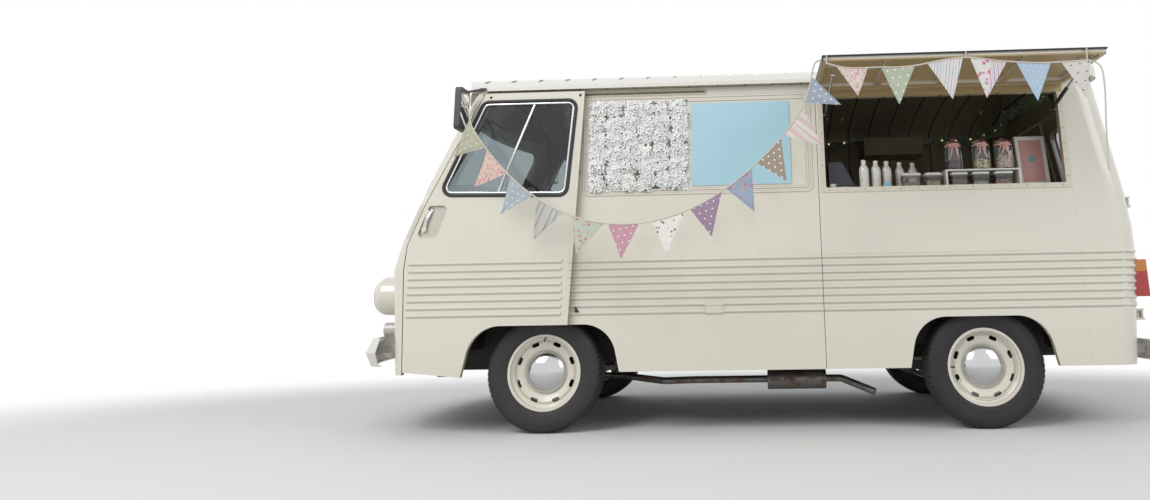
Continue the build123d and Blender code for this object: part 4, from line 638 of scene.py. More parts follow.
lamp("key_lamp", (-5.5, -7.5, 7.0), (0.0, 0.0, 0.9), 520.0, 5.0)
lamp("side_lamp", (6.5, -5.0, 4.5), (0.8, 0.0, 1.2), 150.0, 4.0, (0.95, 0.97, 1.0))
print("lamps", len(bpy.data.lights))

# %% [markdown]
# ## Lofted, turned and swept faces
# Most pieces are one of three forms: rows of points joined by faces, a profile turned about an axis,
# or a section carried along a path. Each gives its points and faces, in the drawing's millimetres.

# %% Lofted, turned and swept


def loft(rows, closed=True, capped=True):
    """Faces between rows of equally many points."""
    count = len(rows[0])
    faces = []
    for low in range(len(rows) - 1):
        for i in range(count if closed else count - 1):
            j = (i + 1) % count
            faces.append((low * count + i, low * count + j, (low + 1) * count + j, (low + 1) * count + i))
    if capped:
        last = (len(rows) - 1) * count
        faces += [tuple(reversed(range(count))), tuple(range(last, last + count))]
    return [point for row in rows for point in row], faces


def turned(profile, place, axis=(0, 0, 1), count=32, capped=True):
    """A turned shape from (radius, height) pairs, about an axis through a place."""
    axis, place = Vector(axis).normalized(), Vector(place)
    side = axis.orthogonal().normalized()
    other = axis.cross(side)
    angles = [2 * math.pi * i / count for i in range(count)]
    rows = [[place + axis * height + (side * math.cos(a) + other * math.sin(a)) * radius for a in angles]
            for radius, height in profile]
    return loft(rows, capped=capped)


def swept(path, section, closed=False, out=None):
    """A closed section of (across, out) pairs carried along a path. out is the outward direction."""
    path = [Vector(point) for point in path]
    count = len(path)
    rows, carried = [], None
    for i, here in enumerate(path):
        before = path[(i - 1) % count] if closed or i else here
        after = path[(i + 1) % count] if closed or i < count - 1 else here
        run = (after - before).normalized()
        if out is not None:
            outward = (Vector(out) - run * run.dot(Vector(out))).normalized()
        elif carried is None:
            outward = run.orthogonal().normalized()
        else:
            outward = (carried - run * run.dot(carried)).normalized()
        carried = outward
        across = run.cross(outward)
        rows.append([here + across * a + outward * b for a, b in section])
    if closed:
        rows.append(rows[0])
    return loft(rows, capped=not closed)


def ring(radius, count=10, squash=1.0):
    """A round section."""
    return [(radius * math.cos(2 * math.pi * i / count), radius * squash * math.sin(2 * math.pi * i / count))
            for i in range(count)]


print("a ring has", len(ring(1.0)), "points")

# %% [markdown]
# ## Rounded blocks and loops
# Nothing made has a knife edge, so blocks get a bevel and outlines get round corners.

# %% Rounded blocks and loops


def slab(low, high, bevel=2.0, steps=2):
    """A rounded block between two corners."""
    low, high = Vector(low), Vector(high)
    work = bmesh.new()
    bmesh.ops.create_cube(work, size=1.0)
    for vert in work.verts:
        vert.co = Vector((low[i] + high[i]) / 2 + vert.co[i] * (high[i] - low[i]) for i in range(3))
    if bevel:
        bmesh.ops.bevel(work, geom=work.edges[:], offset=bevel, segments=steps, affect="EDGES", profile=0.5)
    work.verts.index_update()
    result = ([vert.co.copy() for vert in work.verts],
              [tuple(vert.index for vert in face.verts) for face in work.faces])
    work.free()
    return result


def rounded_loop(corners, radius, steps=7):
    """The outline through 2-D corners, with round corners."""
    loop = []
    count = len(corners)
    for i, corner in enumerate(corners):
        here = Vector(corner)
        back = (Vector(corners[i - 1]) - here).normalized()
        on = (Vector(corners[(i + 1) % count]) - here).normalized()
        half = math.acos(max(-1.0, min(1.0, back.dot(on)))) / 2
        reach = radius / math.tan(half)
        middle = here + (back + on).normalized() * radius / math.sin(half)
        start, end = here + back * reach - middle, here + on * reach - middle
        for step in range(steps + 1):
            share = step / steps
            angle = start.angle_signed(end) if start.length else 0.0
            turn = Matrix.Rotation(-angle * share, 2)
            loop.append(middle + turn @ start)
    return loop


def dense(loop, step):
    """A closed loop with points at most a step apart."""
    result = []
    for here, there in zip(loop, loop[1:] + loop[:1]):
        parts = max(1, math.ceil((there - here).length / step))
        result += [here.lerp(there, i / parts) for i in range(parts)]
    return result


print("a slab has", len(slab((0, 0, 0), (10, 10, 10))[1]), "faces")

# %% [markdown]
# ## A piece
# A `Shape` gathers faces and becomes one object that rides on a body of the frame.

# %% A piece
sides = (("left", -1), ("right", 1))


class Shape:
    """Gathers the faces of one piece."""

    def __init__(self):
        self.points, self.faces, self.slots = [], [], []

    def add(self, part, slot=0):
        """Adds points and faces, in one of the piece's materials."""
        points, faces = part
        base = len(self.points)
        self.points += [Vector(p) for p in points]
        self.faces += [tuple(base + i for i in face) for face in faces]
        self.slots += [slot] * len(faces)
        return self

    def make(self, name, materials, body="van", smooth=45.0, recalc=True, stands_for=()):
        """The object. smooth is the least angle of a sharp edge; stands_for names what it replaces."""
        mesh = bpy.data.meshes.new(name)
        mesh.from_pydata([mm(point) for point in self.points], [], self.faces)
        materials = materials if isinstance(materials, list) else [materials]
        for material in materials:
            mesh.materials.append(material)
        mesh.polygons.foreach_set("material_index", self.slots)
        if recalc:
            work = bmesh.new()
            work.from_mesh(mesh)
            bmesh.ops.recalc_face_normals(work, faces=work.faces[:])
            work.to_mesh(mesh)
            work.free()
        mesh.shade_smooth()
        if smooth:
            mesh.set_sharp_from_angle(angle=math.radians(smooth))
        made = bpy.data.objects.new(name, mesh)
        bpy.context.collection.objects.link(made)
        if stands_for:
            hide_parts(*stands_for)
        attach(made, body)
        return made


def sections_at(height, column):
    """A column of the body's sections at one height."""
    rows = body_sections
    for low, high in zip(rows, rows[1:]):
        if height <= high[0] or high is rows[-1]:
            return low[column] + (high[column] - low[column]) * (height - low[0]) / (high[0] - low[0])


def nose_at(y, height):
    """X on the bowed and leaning nose."""
    return nose_x + bow_radius + sections_at(height, 1) - math.sqrt(bow_radius ** 2 - y ** 2)


def tail_at(height):
    """X on the tail, which leans a little further forward above its waist."""
    return tail_x - sections_at(height, 2)


print("nose and tail at 1 m", round(nose_at(0, 1000)), round(tail_at(1000)))

# %% [markdown]
# ## Bunting: the two tapes
# The control points are those of the CAD routes. The drop of each tape is that of its own weight and
# its flags, as the photograph shows.

# %% Tape routes


def string_y(x):
    """The side string hangs in an upright plane that drifts out from the wall towards the hatch."""
    return -1201.0 - 0.1854 * (x + 1600)


side_plane = [(-1425, 1573), (-1361, 1498), (-1285, 1420), (-1204, 1349), (-1117, 1285), (-1025, 1229),
              (-927, 1184), (-825, 1150), (-720, 1129), (-613, 1120), (-506, 1125), (-400, 1142),
              (-297, 1172), (-198, 1212), (-103, 1263), (-13, 1322), (72, 1389), (153, 1461), (228, 1539),
              (296, 1618), (350, 1704)]
side_route = [(-1608, -1165, 1846), (-1578, -1165, 1846), (-1556, -1186, 1806), (-1534, -1210, 1724),
              (-1484, -1222, 1651)]
side_route += [(x, string_y(x), z) for x, z in side_plane]
side_route += [(382, -1568, 1790), (396, -1569, 1860), (408, -1560, 1912), (426, -1547, 1947),
               (454.7, -1547, 1947)]
lid_y = -1584.0
lid_route = [(x, lid_y, z) for x, z in [
    (468, 1922), (552, 1892), (650, 1887), (748, 1891), (846, 1886), (940, 1893), (1028, 1911), (1112, 1924),
    (1196, 1931), (1276, 1921), (1354, 1906), (1440, 1898), (1532, 1889), (1626, 1888), (1722, 1891),
    (1806, 1897), (1852, 1889), (1880, 1856), (1885, 1806), (1881, 1706), (1870, 1600), (1862, 1495),
    (1857, 1409), (1852, 1325)]]


print("control points", len(side_route), len(lid_route))

# %% [markdown]
# ## Bunting: the tapes
# Each tape is an 8 mm cotton cord: one curve with a round section, so its length can be set and
# measured. Its twill is a bump, because its threads are thinner than any mesh.

# %% Tapes


def tape_cotton():
    """Cream cotton tape, with its twill in fine slanted lines."""
    f = Finish("tape_cotton")
    twill = ((f.x + f.z) * 2 * math.pi / 0.0016).sine()
    worn = f.noise(25.0, 4.0, 0.6)
    shade = f.mix((0.66, 0.62, 0.53), (0.52, 0.47, 0.38), worn)
    return f.done(twill * 0.0001 + worn * 0.0002, Base_Color=shade, Roughness=0.8 + worn * 0.1,
                  Sheen_Weight=0.3)


tape_finish = tape_cotton()


def tape(name, route, body, node):
    """A tape on a route's control points. Returns the line that it follows, in millimetres."""
    data = bpy.data.curves.new(name, "CURVE")
    data.dimensions = "3D"
    data.resolution_u = 8
    spline = data.splines.new("NURBS")
    spline.points.add(len(route) - 1)
    for point, place in zip(spline.points, route):
        point.co = (*mm(place), 1.0)
    spline.order_u = 3
    spline.use_endpoint_u = True
    made = bpy.data.objects.new(name, data)
    bpy.context.collection.objects.link(made)
    line = bpy.data.meshes.new_from_object(made)
    run = [vert.co * 1000 - Vector((0, centre_shift, 0)) for vert in line.vertices]
    bpy.data.meshes.remove(line)
    data.bevel_depth = 0.004
    data.bevel_resolution = 3
    data.use_fill_caps = True
    data.materials.append(tape_finish)
    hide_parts(node)
    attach(made, body)
    mm(route[0])
    print(name, "measures", round(sum((b - a).length for a, b in zip(run, run[1:])) / 1000, 3))
    return run


side_run = tape("side_tape", side_route, "van", "side_string")
lid_run = tape("lid_tape", lid_route, "lid_bunting", "lid_string")

# %% [markdown]
# ## Bunting: the prints
# Washed cotton prints in dots, ticking stripes and small flowers. Each is worked out from the place
# in millimetres, so its pattern has its real size on every flag.

# %% Prints


def print_on(name, ground, kind, inks, pitch=26.0, size=4.2, lean=0.0, striped=False):
    """Washed cotton with a print of dots, flowers or stripes; pitch and size are in millimetres."""
    f = Finish("print_" + name)
    ground = tuple(c * 0.80 + faded * 0.20 for c, faded in zip(ground, (0.66, 0.64, 0.58)))
    turn = math.radians(lean)
    across = (f.x * math.cos(turn) + f.z * math.sin(turn)) * 1000.0
    down = (f.z * math.cos(turn) - f.x * math.sin(turn)) * 1000.0
    crease = f.noise(13.0, 3.0, 0.6)
    shade = f.mix(ground, tuple(c * 0.86 for c in ground), crease)
    if kind == "dots":
        row = (down / pitch).floor() % 2.0
        u = (across + row * pitch / 2) % pitch - pitch / 2
        v = down % pitch - pitch / 2
        dot = ((u ** 2.0 + v ** 2.0) ** 0.5) < size
        shade = f.mix(shade, inks[0], dot)
    elif kind == "flowers":
        at = f.vector(across / pitch, 0.0, down / pitch)
        near = f.cells(1.0, "Distance", at)
        tint = f.split(f.cells(1.0, "Color", at), 0)
        petals = f.noise(0.55, 3.0, 0.6, f.vector(across, 0.0, down))
        bloom = (near + (petals - 0.5) * 0.35) < size / pitch
        heart = near < size / pitch * 0.35
        leaf = (abs(near - size / pitch * 1.25) < 0.05) * (petals > 0.52)
        shade = f.mix(shade, inks[-1], leaf * 0.8)
        shade = f.mix(shade, f.mix(inks[0], inks[1], tint > 0.5), bloom)
        shade = f.mix(shade, tuple(c * 0.55 for c in inks[0]), heart * 0.8)
    else:
        for place, width, ink in inks:
            line = abs((across / pitch - place + 0.5) % 1.0 - 0.5) < width / 2
            shade = f.mix(shade, ink, line * 0.85)
    weave = (across * 2 * math.pi / 0.9).sine() * (down * 2 * math.pi / 0.9).sine()
    edge_u = f.split(f.node("ShaderNodeTexCoord", out="UV"), 0)
    if striped:
        bars = f.mix(ground, (0.62, 0.28, 0.34), abs((across / 21.0) % 1.0 - 0.5) < 0.16)
        bars = f.mix(bars, (0.42, 0.52, 0.66), abs((across / 21.0 + 0.5) % 1.0 - 0.5) < 0.12)
        shade = f.mix(shade, bars, edge_u > 0.56)
    seam = abs(abs(edge_u - 0.5) - 0.44) < 0.006
    shade = f.mix(shade, tuple(c * 0.7 for c in ground), seam * 0.35)
    return f.done(weave * 0.00006 + crease * 0.0012 - seam * 0.0005, Base_Color=shade,
                  Roughness=0.78 + crease * 0.12, Sheen_Weight=0.25)


print("print maker ready")

# %% [markdown]
# ## Bunting: one print for each flag
# Name, ground, kind, inks, pitch, size and lean. The colours follow the photograph's flags in turn.

# %% Flag prints
white_ink = (0.78, 0.76, 0.70)
side_prints = [
    print_on("sage_dots", (0.38, 0.38, 0.26), "dots", [white_ink], 34, 3.8, 20),
    print_on("rose_sprig", (0.70, 0.50, 0.42), "flowers",
             [(0.60, 0.14, 0.26), (0.64, 0.24, 0.34), (0.45, 0.34, 0.18)], 15, 5.0, 0),
    print_on("mist_dots", (0.34, 0.42, 0.48), "dots", [white_ink], 36, 4.2, -24),
    print_on("ticking", (0.50, 0.48, 0.43), "stripes",
             [(0.30, 0.05, (0.10, 0.17, 0.25)), (0.38, 0.02, (0.10, 0.17, 0.25)),
              (0.70, 0.05, (0.10, 0.17, 0.25)), (0.62, 0.02, (0.10, 0.17, 0.25))], 84, 0, -22),
    print_on("sage_roses", (0.50, 0.54, 0.44), "flowers",
             [(0.56, 0.16, 0.20), (0.60, 0.30, 0.30), (0.18, 0.25, 0.12)], 24, 6.4, 0),
    print_on("pink_dots", (0.54, 0.22, 0.31), "dots", [white_ink], 36, 4.4, 12),
    print_on("brown_hearts", (0.84, 0.81, 0.76), "flowers",
             [(0.26, 0.10, 0.09), (0.36, 0.16, 0.14), (0.44, 0.36, 0.24)], 29, 5.4, 0),
    print_on("plum_dots", (0.25, 0.13, 0.25), "dots", [white_ink], 36, 4.2, 18),
    print_on("blue_roses", (0.24, 0.33, 0.50), "flowers",
             [(0.62, 0.14, 0.18), (0.68, 0.34, 0.34), (0.12, 0.22, 0.12)], 27, 7.2, 0),
    print_on("brown_dots", (0.27, 0.19, 0.14), "dots", [white_ink], 33, 5.0, 30),
    print_on("candy_stripe", (0.72, 0.68, 0.62), "stripes",
             [(0.35, 0.14, (0.66, 0.36, 0.36)), (0.22, 0.025, (0.14, 0.10, 0.12)),
              (0.48, 0.025, (0.14, 0.10, 0.12)), (0.85, 0.10, (0.66, 0.36, 0.36)),
              (0.66, 0.02, (0.30, 0.26, 0.27))], 74, 0, 48),
    print_on("slate_dots", (0.24, 0.32, 0.42), "dots", [white_ink], 34, 4.6, 12),
]
lid_prints = [
    print_on("pink_sprig", (0.72, 0.62, 0.54), "flowers",
             [(0.62, 0.20, 0.34), (0.64, 0.34, 0.42), (0.60, 0.46, 0.22)], 13, 4.6, 0),
    print_on("leaf_dots", (0.40, 0.46, 0.32), "dots", [white_ink], 40, 5.0, 8),
    print_on("deck_stripe", (0.72, 0.72, 0.70), "stripes",
             [(0.10, 0.05, (0.08, 0.30, 0.36)), (0.34, 0.07, (0.62, 0.26, 0.30)),
              (0.46, 0.03, (0.28, 0.40, 0.55)), (0.62, 0.05, (0.08, 0.30, 0.36)),
              (0.84, 0.04, (0.62, 0.26, 0.30))], 62, 0, -10),
    print_on("bold_roses", (0.74, 0.71, 0.68), "flowers",
             [(0.64, 0.08, 0.22), (0.62, 0.22, 0.34), (0.10, 0.26, 0.22)], 31, 8.0, 0, True),
    print_on("sky_dots", (0.36, 0.52, 0.68), "dots", [white_ink], 26, 2.6, -8),
    print_on("fawn_dots", (0.66, 0.62, 0.58), "dots", [(0.16, 0.09, 0.08)], 46, 4.4, 10),
]

print("prints", len(side_prints), len(lid_prints))

# %% [markdown]
# ## Bunting: the flags
# Each flag is one sheet of cotton, cut as a triangle and sewn along its top. Its rows run from the
# tape to the tip, and its soft folds come from a wave that grows and dies on the way down.

# %% Flags


def at_x(run, x):
    """The point of a tape's run at a place on X."""
    for low, high in zip(run, run[1:]):
        if low.x <= x <= high.x:
            return low.lerp(high, (x - low.x) / max(high.x - low.x, 1e-6))
    raise ValueError(f"the tape doesn't pass x = {x}")


def flag(name, run, start_x, end_x, tip, material, body, phase, carrier, folds=1.4, fold=7.0):
    """A pennant whose top follows its tape, with soft folds that grow and then fade towards its tip."""
    wide, tall, tip_share = 20, 22, 0.985
    tops = [at_x(run, start_x + (end_x - start_x) * i / wide) for i in range(wide + 1)]
    tip = Vector(tip)
    outward = (tops[-1] - tops[0]).cross(tip - tops[0]).normalized()
    if outward.y > 0:
        outward = -outward
    points, faces, flats = [], [], []
    for j in range(tall + 1):
        v = j / tall * tip_share
        for i in range(wide + 1):
            u = i / wide
            place = tops[i].lerp(tip, v)
            wave = math.sin(2 * math.pi * folds * (u - 0.5) + phase) * v ** 0.9 * (1.0 - 0.75 * v)
            curl = math.sin(math.pi * v) * math.cos(phase) * 0.7
            points.append(place + outward * fold * (wave + curl))
            flats.append((u, 1 - v))
    for j in range(tall):
        for i in range(wide):
            a = j * (wide + 1) + i
            faces.append((a, a + wide + 1, a + wide + 2, a + 1))
    shape = Shape().add((points, faces))
    made = shape.make(name, material, body, smooth=0, recalc=False)
    layer = made.data.uv_layers.new(name="cut")
    for corner in made.data.loops:
        layer.data[corner.index].uv = flats[corner.vertex_index]
    width = (tops[-1] - tops[0]).length / 1000
    drop = ((tip - tops[0]).cross(tops[-1] - tops[0]).length / (tops[-1] - tops[0]).length) / 1000
    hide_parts(carrier)
    return width, drop


print("flag maker ready")

# %% [markdown]
# ## Bunting: where each flag hangs
# Where its top starts and ends on the tape, its tip's X and Z, and how far the side flags are blown
# out, all in millimetres and fitted to the photograph.

# %% Hung flags
side_table = [
    (-1545, -1433, -1625, 1542, 0), (-1423, -1296, -1486, 1360, 14), (-1277, -1137, -1322, 1202, 6),
    (-1113, -956, -1117, 1058, 20), (-911, -725, -880, 970, 4), (-707, -533, -628, 940, 16),
    (-463, -284, -382, 949, 8), (-258, -88, -145, 1041, 18), (-67, 71, 79, 1159, 5),
    (98, 226, 246, 1309, 15), (238, 342, 432, 1483, 6), (354, 395, 535, 1680, 45)]
lid_table = [(522, 689, 629, 1738), (756, 932, 838, 1687), (994, 1181, 1112, 1706), (1217, 1404, 1285, 1709),
             (1450, 1627, 1540, 1686), (1678, 1830, 1782, 1692)]
cuts = []
for number, (start_x, end_x, tip_x, tip_z, blown) in enumerate(side_table):
    tip = (tip_x, string_y(tip_x) - blown, tip_z)
    cuts.append(flag(f"side_flag_{number + 1}", side_run, start_x, end_x, tip, side_prints[number], "van",
                     number * 1.9, "side_flags"))
for number, (start_x, end_x, tip_x, tip_z) in enumerate(lid_table):
    cuts.append(flag(f"lid_flag_{number + 1}", lid_run, start_x, end_x, (tip_x, lid_y, tip_z),
                     lid_prints[number], "lid_bunting", number * 2.3 + 1, "lid_flags", fold=5.0))
print("flags, width and drop in metres", [(round(w, 3), round(d, 3)) for w, d in cuts])
loops = Shape()
for x in (476.0, 1196.0, 1812.0):
    top = 1955.0
    low = at_x(lid_run, x).z
    loops.add(swept([(x, lid_y, low), (x, lid_y, low + 8), (x, lid_y - 5.6, top - 4),
                     (x, lid_y - 5.0, top + 4), (x, lid_y, top + 6.6), (x, lid_y + 4.6, top + 3),
                     (x, lid_y + 4.4, top - 4), (x, lid_y, top - 10), (x, lid_y, low + 8)],
                    [(-4, -0.7), (4, -0.7), (4, 0.7), (-4, 0.7)], out=None))
loops.make("lid_loops", tape_finish, "lid_bunting", stands_for=("lid_flags",))

# %% [markdown]
# ## Road wheels
# A moulded tyre has a tread of five ribs between zigzag grooves, and blocks on its shoulders. Turning
# a profile would leave it bald, so every cross row is set out by itself and the grooves are steps in
# the mesh. A tyre stays inside its CAD solid's outline.

# %% Tyres


def tread_tyre(name, axle_x, side):
    """A tyre in rows across it. A column is its place across, its radius and what it is part of."""
    on_wall, on_rib, in_groove = 0, 1, 2
    tread_radius, groove_radius, zigzag, block_depth, block_rise = 330, 322, 2.2, 4.0, 1.2
    wall = [(-70, 207), (-80, 214), (-87, 232), (-92, 258), (-92.8, 280), (-90.5, 300), (-84, 314),
            (-74, 323), (-67, 327)]
    grooves = [(-50, -44), (-20, -14), (14, 20), (44, 50)]
    columns = [(y, r, on_wall) for y, r in wall]
    for low, high in grooves:
        columns += [(low - 0.8, tread_radius, on_rib), (low, groove_radius, in_groove),
                    (high, groove_radius, in_groove), (high + 0.8, tread_radius, on_rib)]
    columns += [(-y, r, on_wall) for y, r in reversed(wall)]
    columns += [(62, 226, on_wall), (-62, 226, on_wall)]
    pitches = 66
    rows = []
    for pitch in range(pitches):
        for share, cut in ((0.0, 0), (0.50, 0), (0.74, 0), (0.78, 1), (0.94, 1), (0.98, 0)):
            angle = 2 * math.pi * (pitch + share) / pitches
            zig = zigzag * (1 - abs(2 * ((pitch % 2 + share) / 2) - 1) * 2)
            row = []
            for y, r, kind in columns:
                radius = r
                shift = 0.0 if kind == on_wall else zig
                if cut and (abs(y) > 52 or (kind == on_rib and 21 < abs(y) < 43)) and r > 318:
                    radius = r - block_depth
                if kind == on_wall and 321 < r < 329 and not cut:
                    radius = r + block_rise
                row.append((axle_x + radius * math.sin(angle), side * (half_track + y + shift),
                            axle_height + radius * math.cos(angle)))
            rows.append(row)
    rows.append(rows[0])
    corner = name.replace("tyre_", "")
    return Shape().add(loft(rows, closed=True, capped=False)).make(
        "tread_" + corner, looks["tyre_black"], "road_wheel_" + corner, smooth=38, stands_for=(name,))


print("tread maker ready")

# %% [markdown]
# ## Chrome caps and valves
# The cap is one spun dome, so it is turned from a smooth curve. The valve and balance weight stand on
# the rim of each wheel.

# %% Caps and valves
# Name, axle, side and the valve's turn in degrees
corners = [("front_left", front_axle, -1, 0.0), ("front_right", front_axle, 1, 0.0),
           ("rear_left", rear_axle, -1, -90.0), ("rear_right", rear_axle, 1, 90.0)]
dome_steps, tyre_faces = 14, 0
for corner, axle_x, side, valve_at in corners:
    tyre_faces += len(tread_tyre("tyre_" + corner, axle_x, side).data.polygons)
    outer = (0, side, 0)
    dome = [(120.5, 15.5), (121.6, 17.0), (120.6, 19.2)]
    for i in range(1, dome_steps + 1):
        share = 1 - i / dome_steps
        radius = 119.4 * share ** 0.72 + 0.05
        dome.append((radius, 22.2 + 46.8 * (1 - (radius / 121.0) ** 2.6) ** 0.8))
    cap = Shape().add(turned(dome, (axle_x, side * half_track, axle_height), outer, 64))
    cap.make("cap_" + corner, chrome, "road_wheel_" + corner, smooth=60)
    angle = math.radians(valve_at)
    out = Vector((math.sin(angle), 0, math.cos(angle)))
    root = Vector((axle_x, side * (half_track + 50), axle_height)) + out * 192
    stem = swept([root, root + Vector((0, side * 10, 0)) - out * 2,
                  root + Vector((0, side * 20, 0)) - out * 7,
                  root + Vector((0, side * 26, 0)) - out * 11], ring(4.2))
    tip = root + Vector((0, side * 26, 0)) - out * 11
    lean = (Vector((0, side * 6, 0)) - out * 4).normalized()
    cap_profile = [(4.6, 0), (5.0, 1), (5.0, 7), (4.2, 9), (1.0, 9.6)]
    valve = Shape().add(stem).add(turned(cap_profile, tip, lean, 14))
    balance = turned([(3.0, -1), (3.4, 1), (2.0, 2.4)],
                     (axle_x + 216 * math.sin(angle + 2.0), side * (half_track + 77),
                      axle_height + 216 * math.cos(angle + 2.0)), outer, 10)
    valve.add(balance).make("valve_" + corner, black_rubber, "road_wheel_" + corner)
print("tyre faces", tyre_faces)

# %% [markdown]
# ## Windows: rubber seals and bright rings
# Each seal follows its opening with round corners. The door's window has a bright ring inside the
# rubber and a slanted division bar, as in the photograph.

# %% Window seals
rubber_section = [(-9, -2), (-9, 3), (-6, 6.5), (0, 7.5), (6, 6.5), (9, 3), (9, -2)]
ring_section = [(-6, -2), (-6.5, 2), (-4, 5.0), (0, 6.2), (4, 5.0), (6.5, 2), (6, -2)]


def seal(name, path, section, out, material, body, extra=None):
    """A section carried round a closed path, with anything extra in the same piece."""
    shape = Shape().add(swept(path, section, closed=True, out=out))
    if extra:
        shape.add(extra)
    return shape.make(name, material, body, smooth=50)


def inset_loop(loop, amount):
    """A closed 2-D loop moved towards its middle along its own normals."""
    count, result = len(loop), []
    middle = sum(loop, Vector((0, 0))) / count
    for i, here in enumerate(loop):
        run = (loop[(i + 1) % count] - loop[i - 1]).normalized()
        side = Vector((-run.y, run.x))
        if side.dot(middle - here) < 0:
            side = -side
        result.append(here + side * amount)
    return result


print("seal sections", len(rubber_section), len(ring_section))

# %% [markdown]
# ## Seals and rings in place
# Windscreen and rear seals follow the bowed and leaning panels, so every point of theirs is set on
# the surface.

# %% Seals in place
door_corners = [(-1772, 1352), (-1021, 1337), (-971, 1905), (-1530, 1905)]
door_loop = dense(rounded_loop(door_corners, 46.0), 60.0)
for word, side in sides:
    outer = [(p.x, side * 1000.5, p.y) for p in inset_loop(door_loop, -4.0)]
    inner = [(p.x, side * 999.0, p.y) for p in inset_loop(door_loop, 13.0)]
    out = (0, side, 0)
    seal(f"door_seal_{word}", outer, rubber_section, out, black_rubber, f"cab_door_{word}")
    bar_path = [(-1222, side * 992, 1893), (-1372, side * 992, 1509), (-1427, side * 992, 1358)]
    bar = swept(bar_path, [(-7, -3), (-7, 4), (-4, 7), (4, 7), (7, 4), (7, -3)], out=out)
    seal(f"door_ring_{word}", inner, ring_section, out, bright_metal, f"cab_door_{word}", bar)
    slide_lock = Shape().add(slab((-1160, side * 990 - 9, 1348), (-1112, side * 990 + 9, 1366), 3))
    slide_lock.make(f"pane_lock_{word}", black_rubber, f"cab_door_{word}")

screen_loop = dense(rounded_loop([(-803, 1322), (803, 1322), (803, 1908), (-803, 1908)], 97.0), 45.0)
middle_out = [Vector((nose_at(p.x, p.y) - 2, p.x, p.y)) for p in screen_loop]
seal("screen_seal", middle_out, rubber_section, (-0.85, 0, 0.45), black_rubber, "van")
bright_loop = [Vector((nose_at(p.x, p.y) - 7, p.x, p.y)) for p in inset_loop(screen_loop, 1.0)]
seal("screen_trim", bright_loop, [(a * 0.4, b * 0.5) for a, b in ring_section], (-0.85, 0, 0.45),
     bright_metal, "van")

for word, side in sides:
    window_side, leaf_half = 105.0, 797.0
    y_mid, y_out = window_side, leaf_half - window_side
    corners_2d = [(side * y_mid, 1257), (side * y_out, 1257), (side * y_out, 1803), (side * y_mid, 1803)]
    loop = dense(rounded_loop(corners_2d, 62.0), 60.0)
    path = [Vector((tail_at(p.y) + 1.0, p.x, p.y)) for p in loop]
    seal(f"rear_seal_{word}", path, rubber_section, (1, 0, 0.17), black_rubber, f"rear_door_{word}")

# %% [markdown]
# ## Screws
# The hatch trim and the lid are screwed on. Each screw is a turned dome with a dished recess.

# %% Screws
trim_face_y, lid_under_z = -963.2, 1933.8


def screw(place, out, radius=4.5):
    """A domed head with a dished recess."""
    profile = [(radius, 0), (radius, radius * 0.16), (radius * 0.8, radius * 0.42),
               (radius * 0.42, radius * 0.56), (radius * 0.34, radius * 0.30), (0.05, radius * 0.24)]
    return turned(profile, place, out, 14)


screw_steel = plain("screw_steel", (0.42, 0.41, 0.38), 0.35, metal=0.9, grain=200.0)
trim_screws = Shape()
for i in range(14):
    trim_screws.add(screw((520 + i * 103.0, trim_face_y, 1334), (0, -1, 0), 4.2))
for i in range(6):
    trim_screws.add(screw((486, trim_face_y, 1385 + i * 95.0), (0, -1, 0), 4.2))
    trim_screws.add(screw((1892, trim_face_y, 1385 + i * 95.0), (0, -1, 0), 4.2))
trim_screws.make("trim_screws", screw_steel)
lid_screws = Shape()
for x in (500, 620, 860, 1189, 1500, 1740, 1880):
    lid_screws.add(screw((x, -1568, lid_under_z), (0, 0, -1), 5.0))
for y in (-1050, -1200, -1350, -1480):
    for x in (468, 1910):
        lid_screws.add(screw((x, y, lid_under_z), (0, 0, -1), 5.0))
lid_screws.make("lid_screws", screw_steel, "hatch_lid")
print("screw faces", len(trim_screws.faces) + len(lid_screws.faces))

# %% [markdown]
# ## Handles, locks and stops of the sliding doors
# A cast lever stands in a pressed pocket. It is one flat oval section swept along a bent path, over
# the plain lever of the CAD solid. Below it are the lock and, on the body, the door's rubber stop.

# %% Door handles
for word, side in sides:
    door_screws = Shape()
    for x, z in ((-1492, 1936), (-948, 1936)):
        door_screws.add(screw((x, side * 1000.2, z), (0, side, 0), 8.0))
    door_screws.make(f"door_screws_{word}", black_rubber, f"cab_door_{word}")
    out = Vector((0, side, 0))
    handle = Shape()
    lean = Vector((-62, 0, -150)).normalized()
    foot = Vector((-1818, side * 987, 1262))
    grip = [foot, foot + lean * 20 + out * 9, foot + lean * 60 + out * 13, foot + lean * 96 + out * 11,
            foot + lean * 112 + out * 5]
    handle.add(swept(grip, [(-8, -3.5), (-9, 0), (-7, 3.5), (0, 5), (7, 3.5), (9, 0), (8, -3.5)], out=out))
    handle.add(turned([(13, 0), (13.5, 2), (12, 5), (9, 8), (6, 9)], foot, out, 24))
    handle.make(f"door_handle_{word}", chrome, f"cab_door_{word}")
    pan = rounded_loop([(-1831, 1291), (-1718, 1291), (-1784, 1107), (-1900, 1103)], 24, 6)
    rim = Shape().add(swept([(p.x, side * 1000.0, p.y) for p in pan], ring(2.6, 8), closed=True, out=out))
    rim.make(f"handle_rim_{word}", looks["trim_cream"], f"cab_door_{word}")
    lock = Shape().add(turned([(10, 0), (10.5, 2), (9.5, 4), (7.0, 4.6), (6.6, 3.4), (0.05, 3.2)],
                              (-1868, side * 986.2, 1140), out, 22))
    lock.add(slab((-1869.2, side * 990 - 1.2, 1135), (-1866.8, side * 990 + 1.2, 1145), 0.4))
    lock.make(f"door_lock_{word}", chrome, f"cab_door_{word}")
    stop_rows = [[(-962, y, 664), (-937, y, 664), (-958, y, 694), (-962, y, 694)]
                 for y in sorted((side * 958.5, side * 969.0))]
    Shape().add(loft(stop_rows)).make(f"door_stop_{word}", black_rubber)

print("door fittings made")

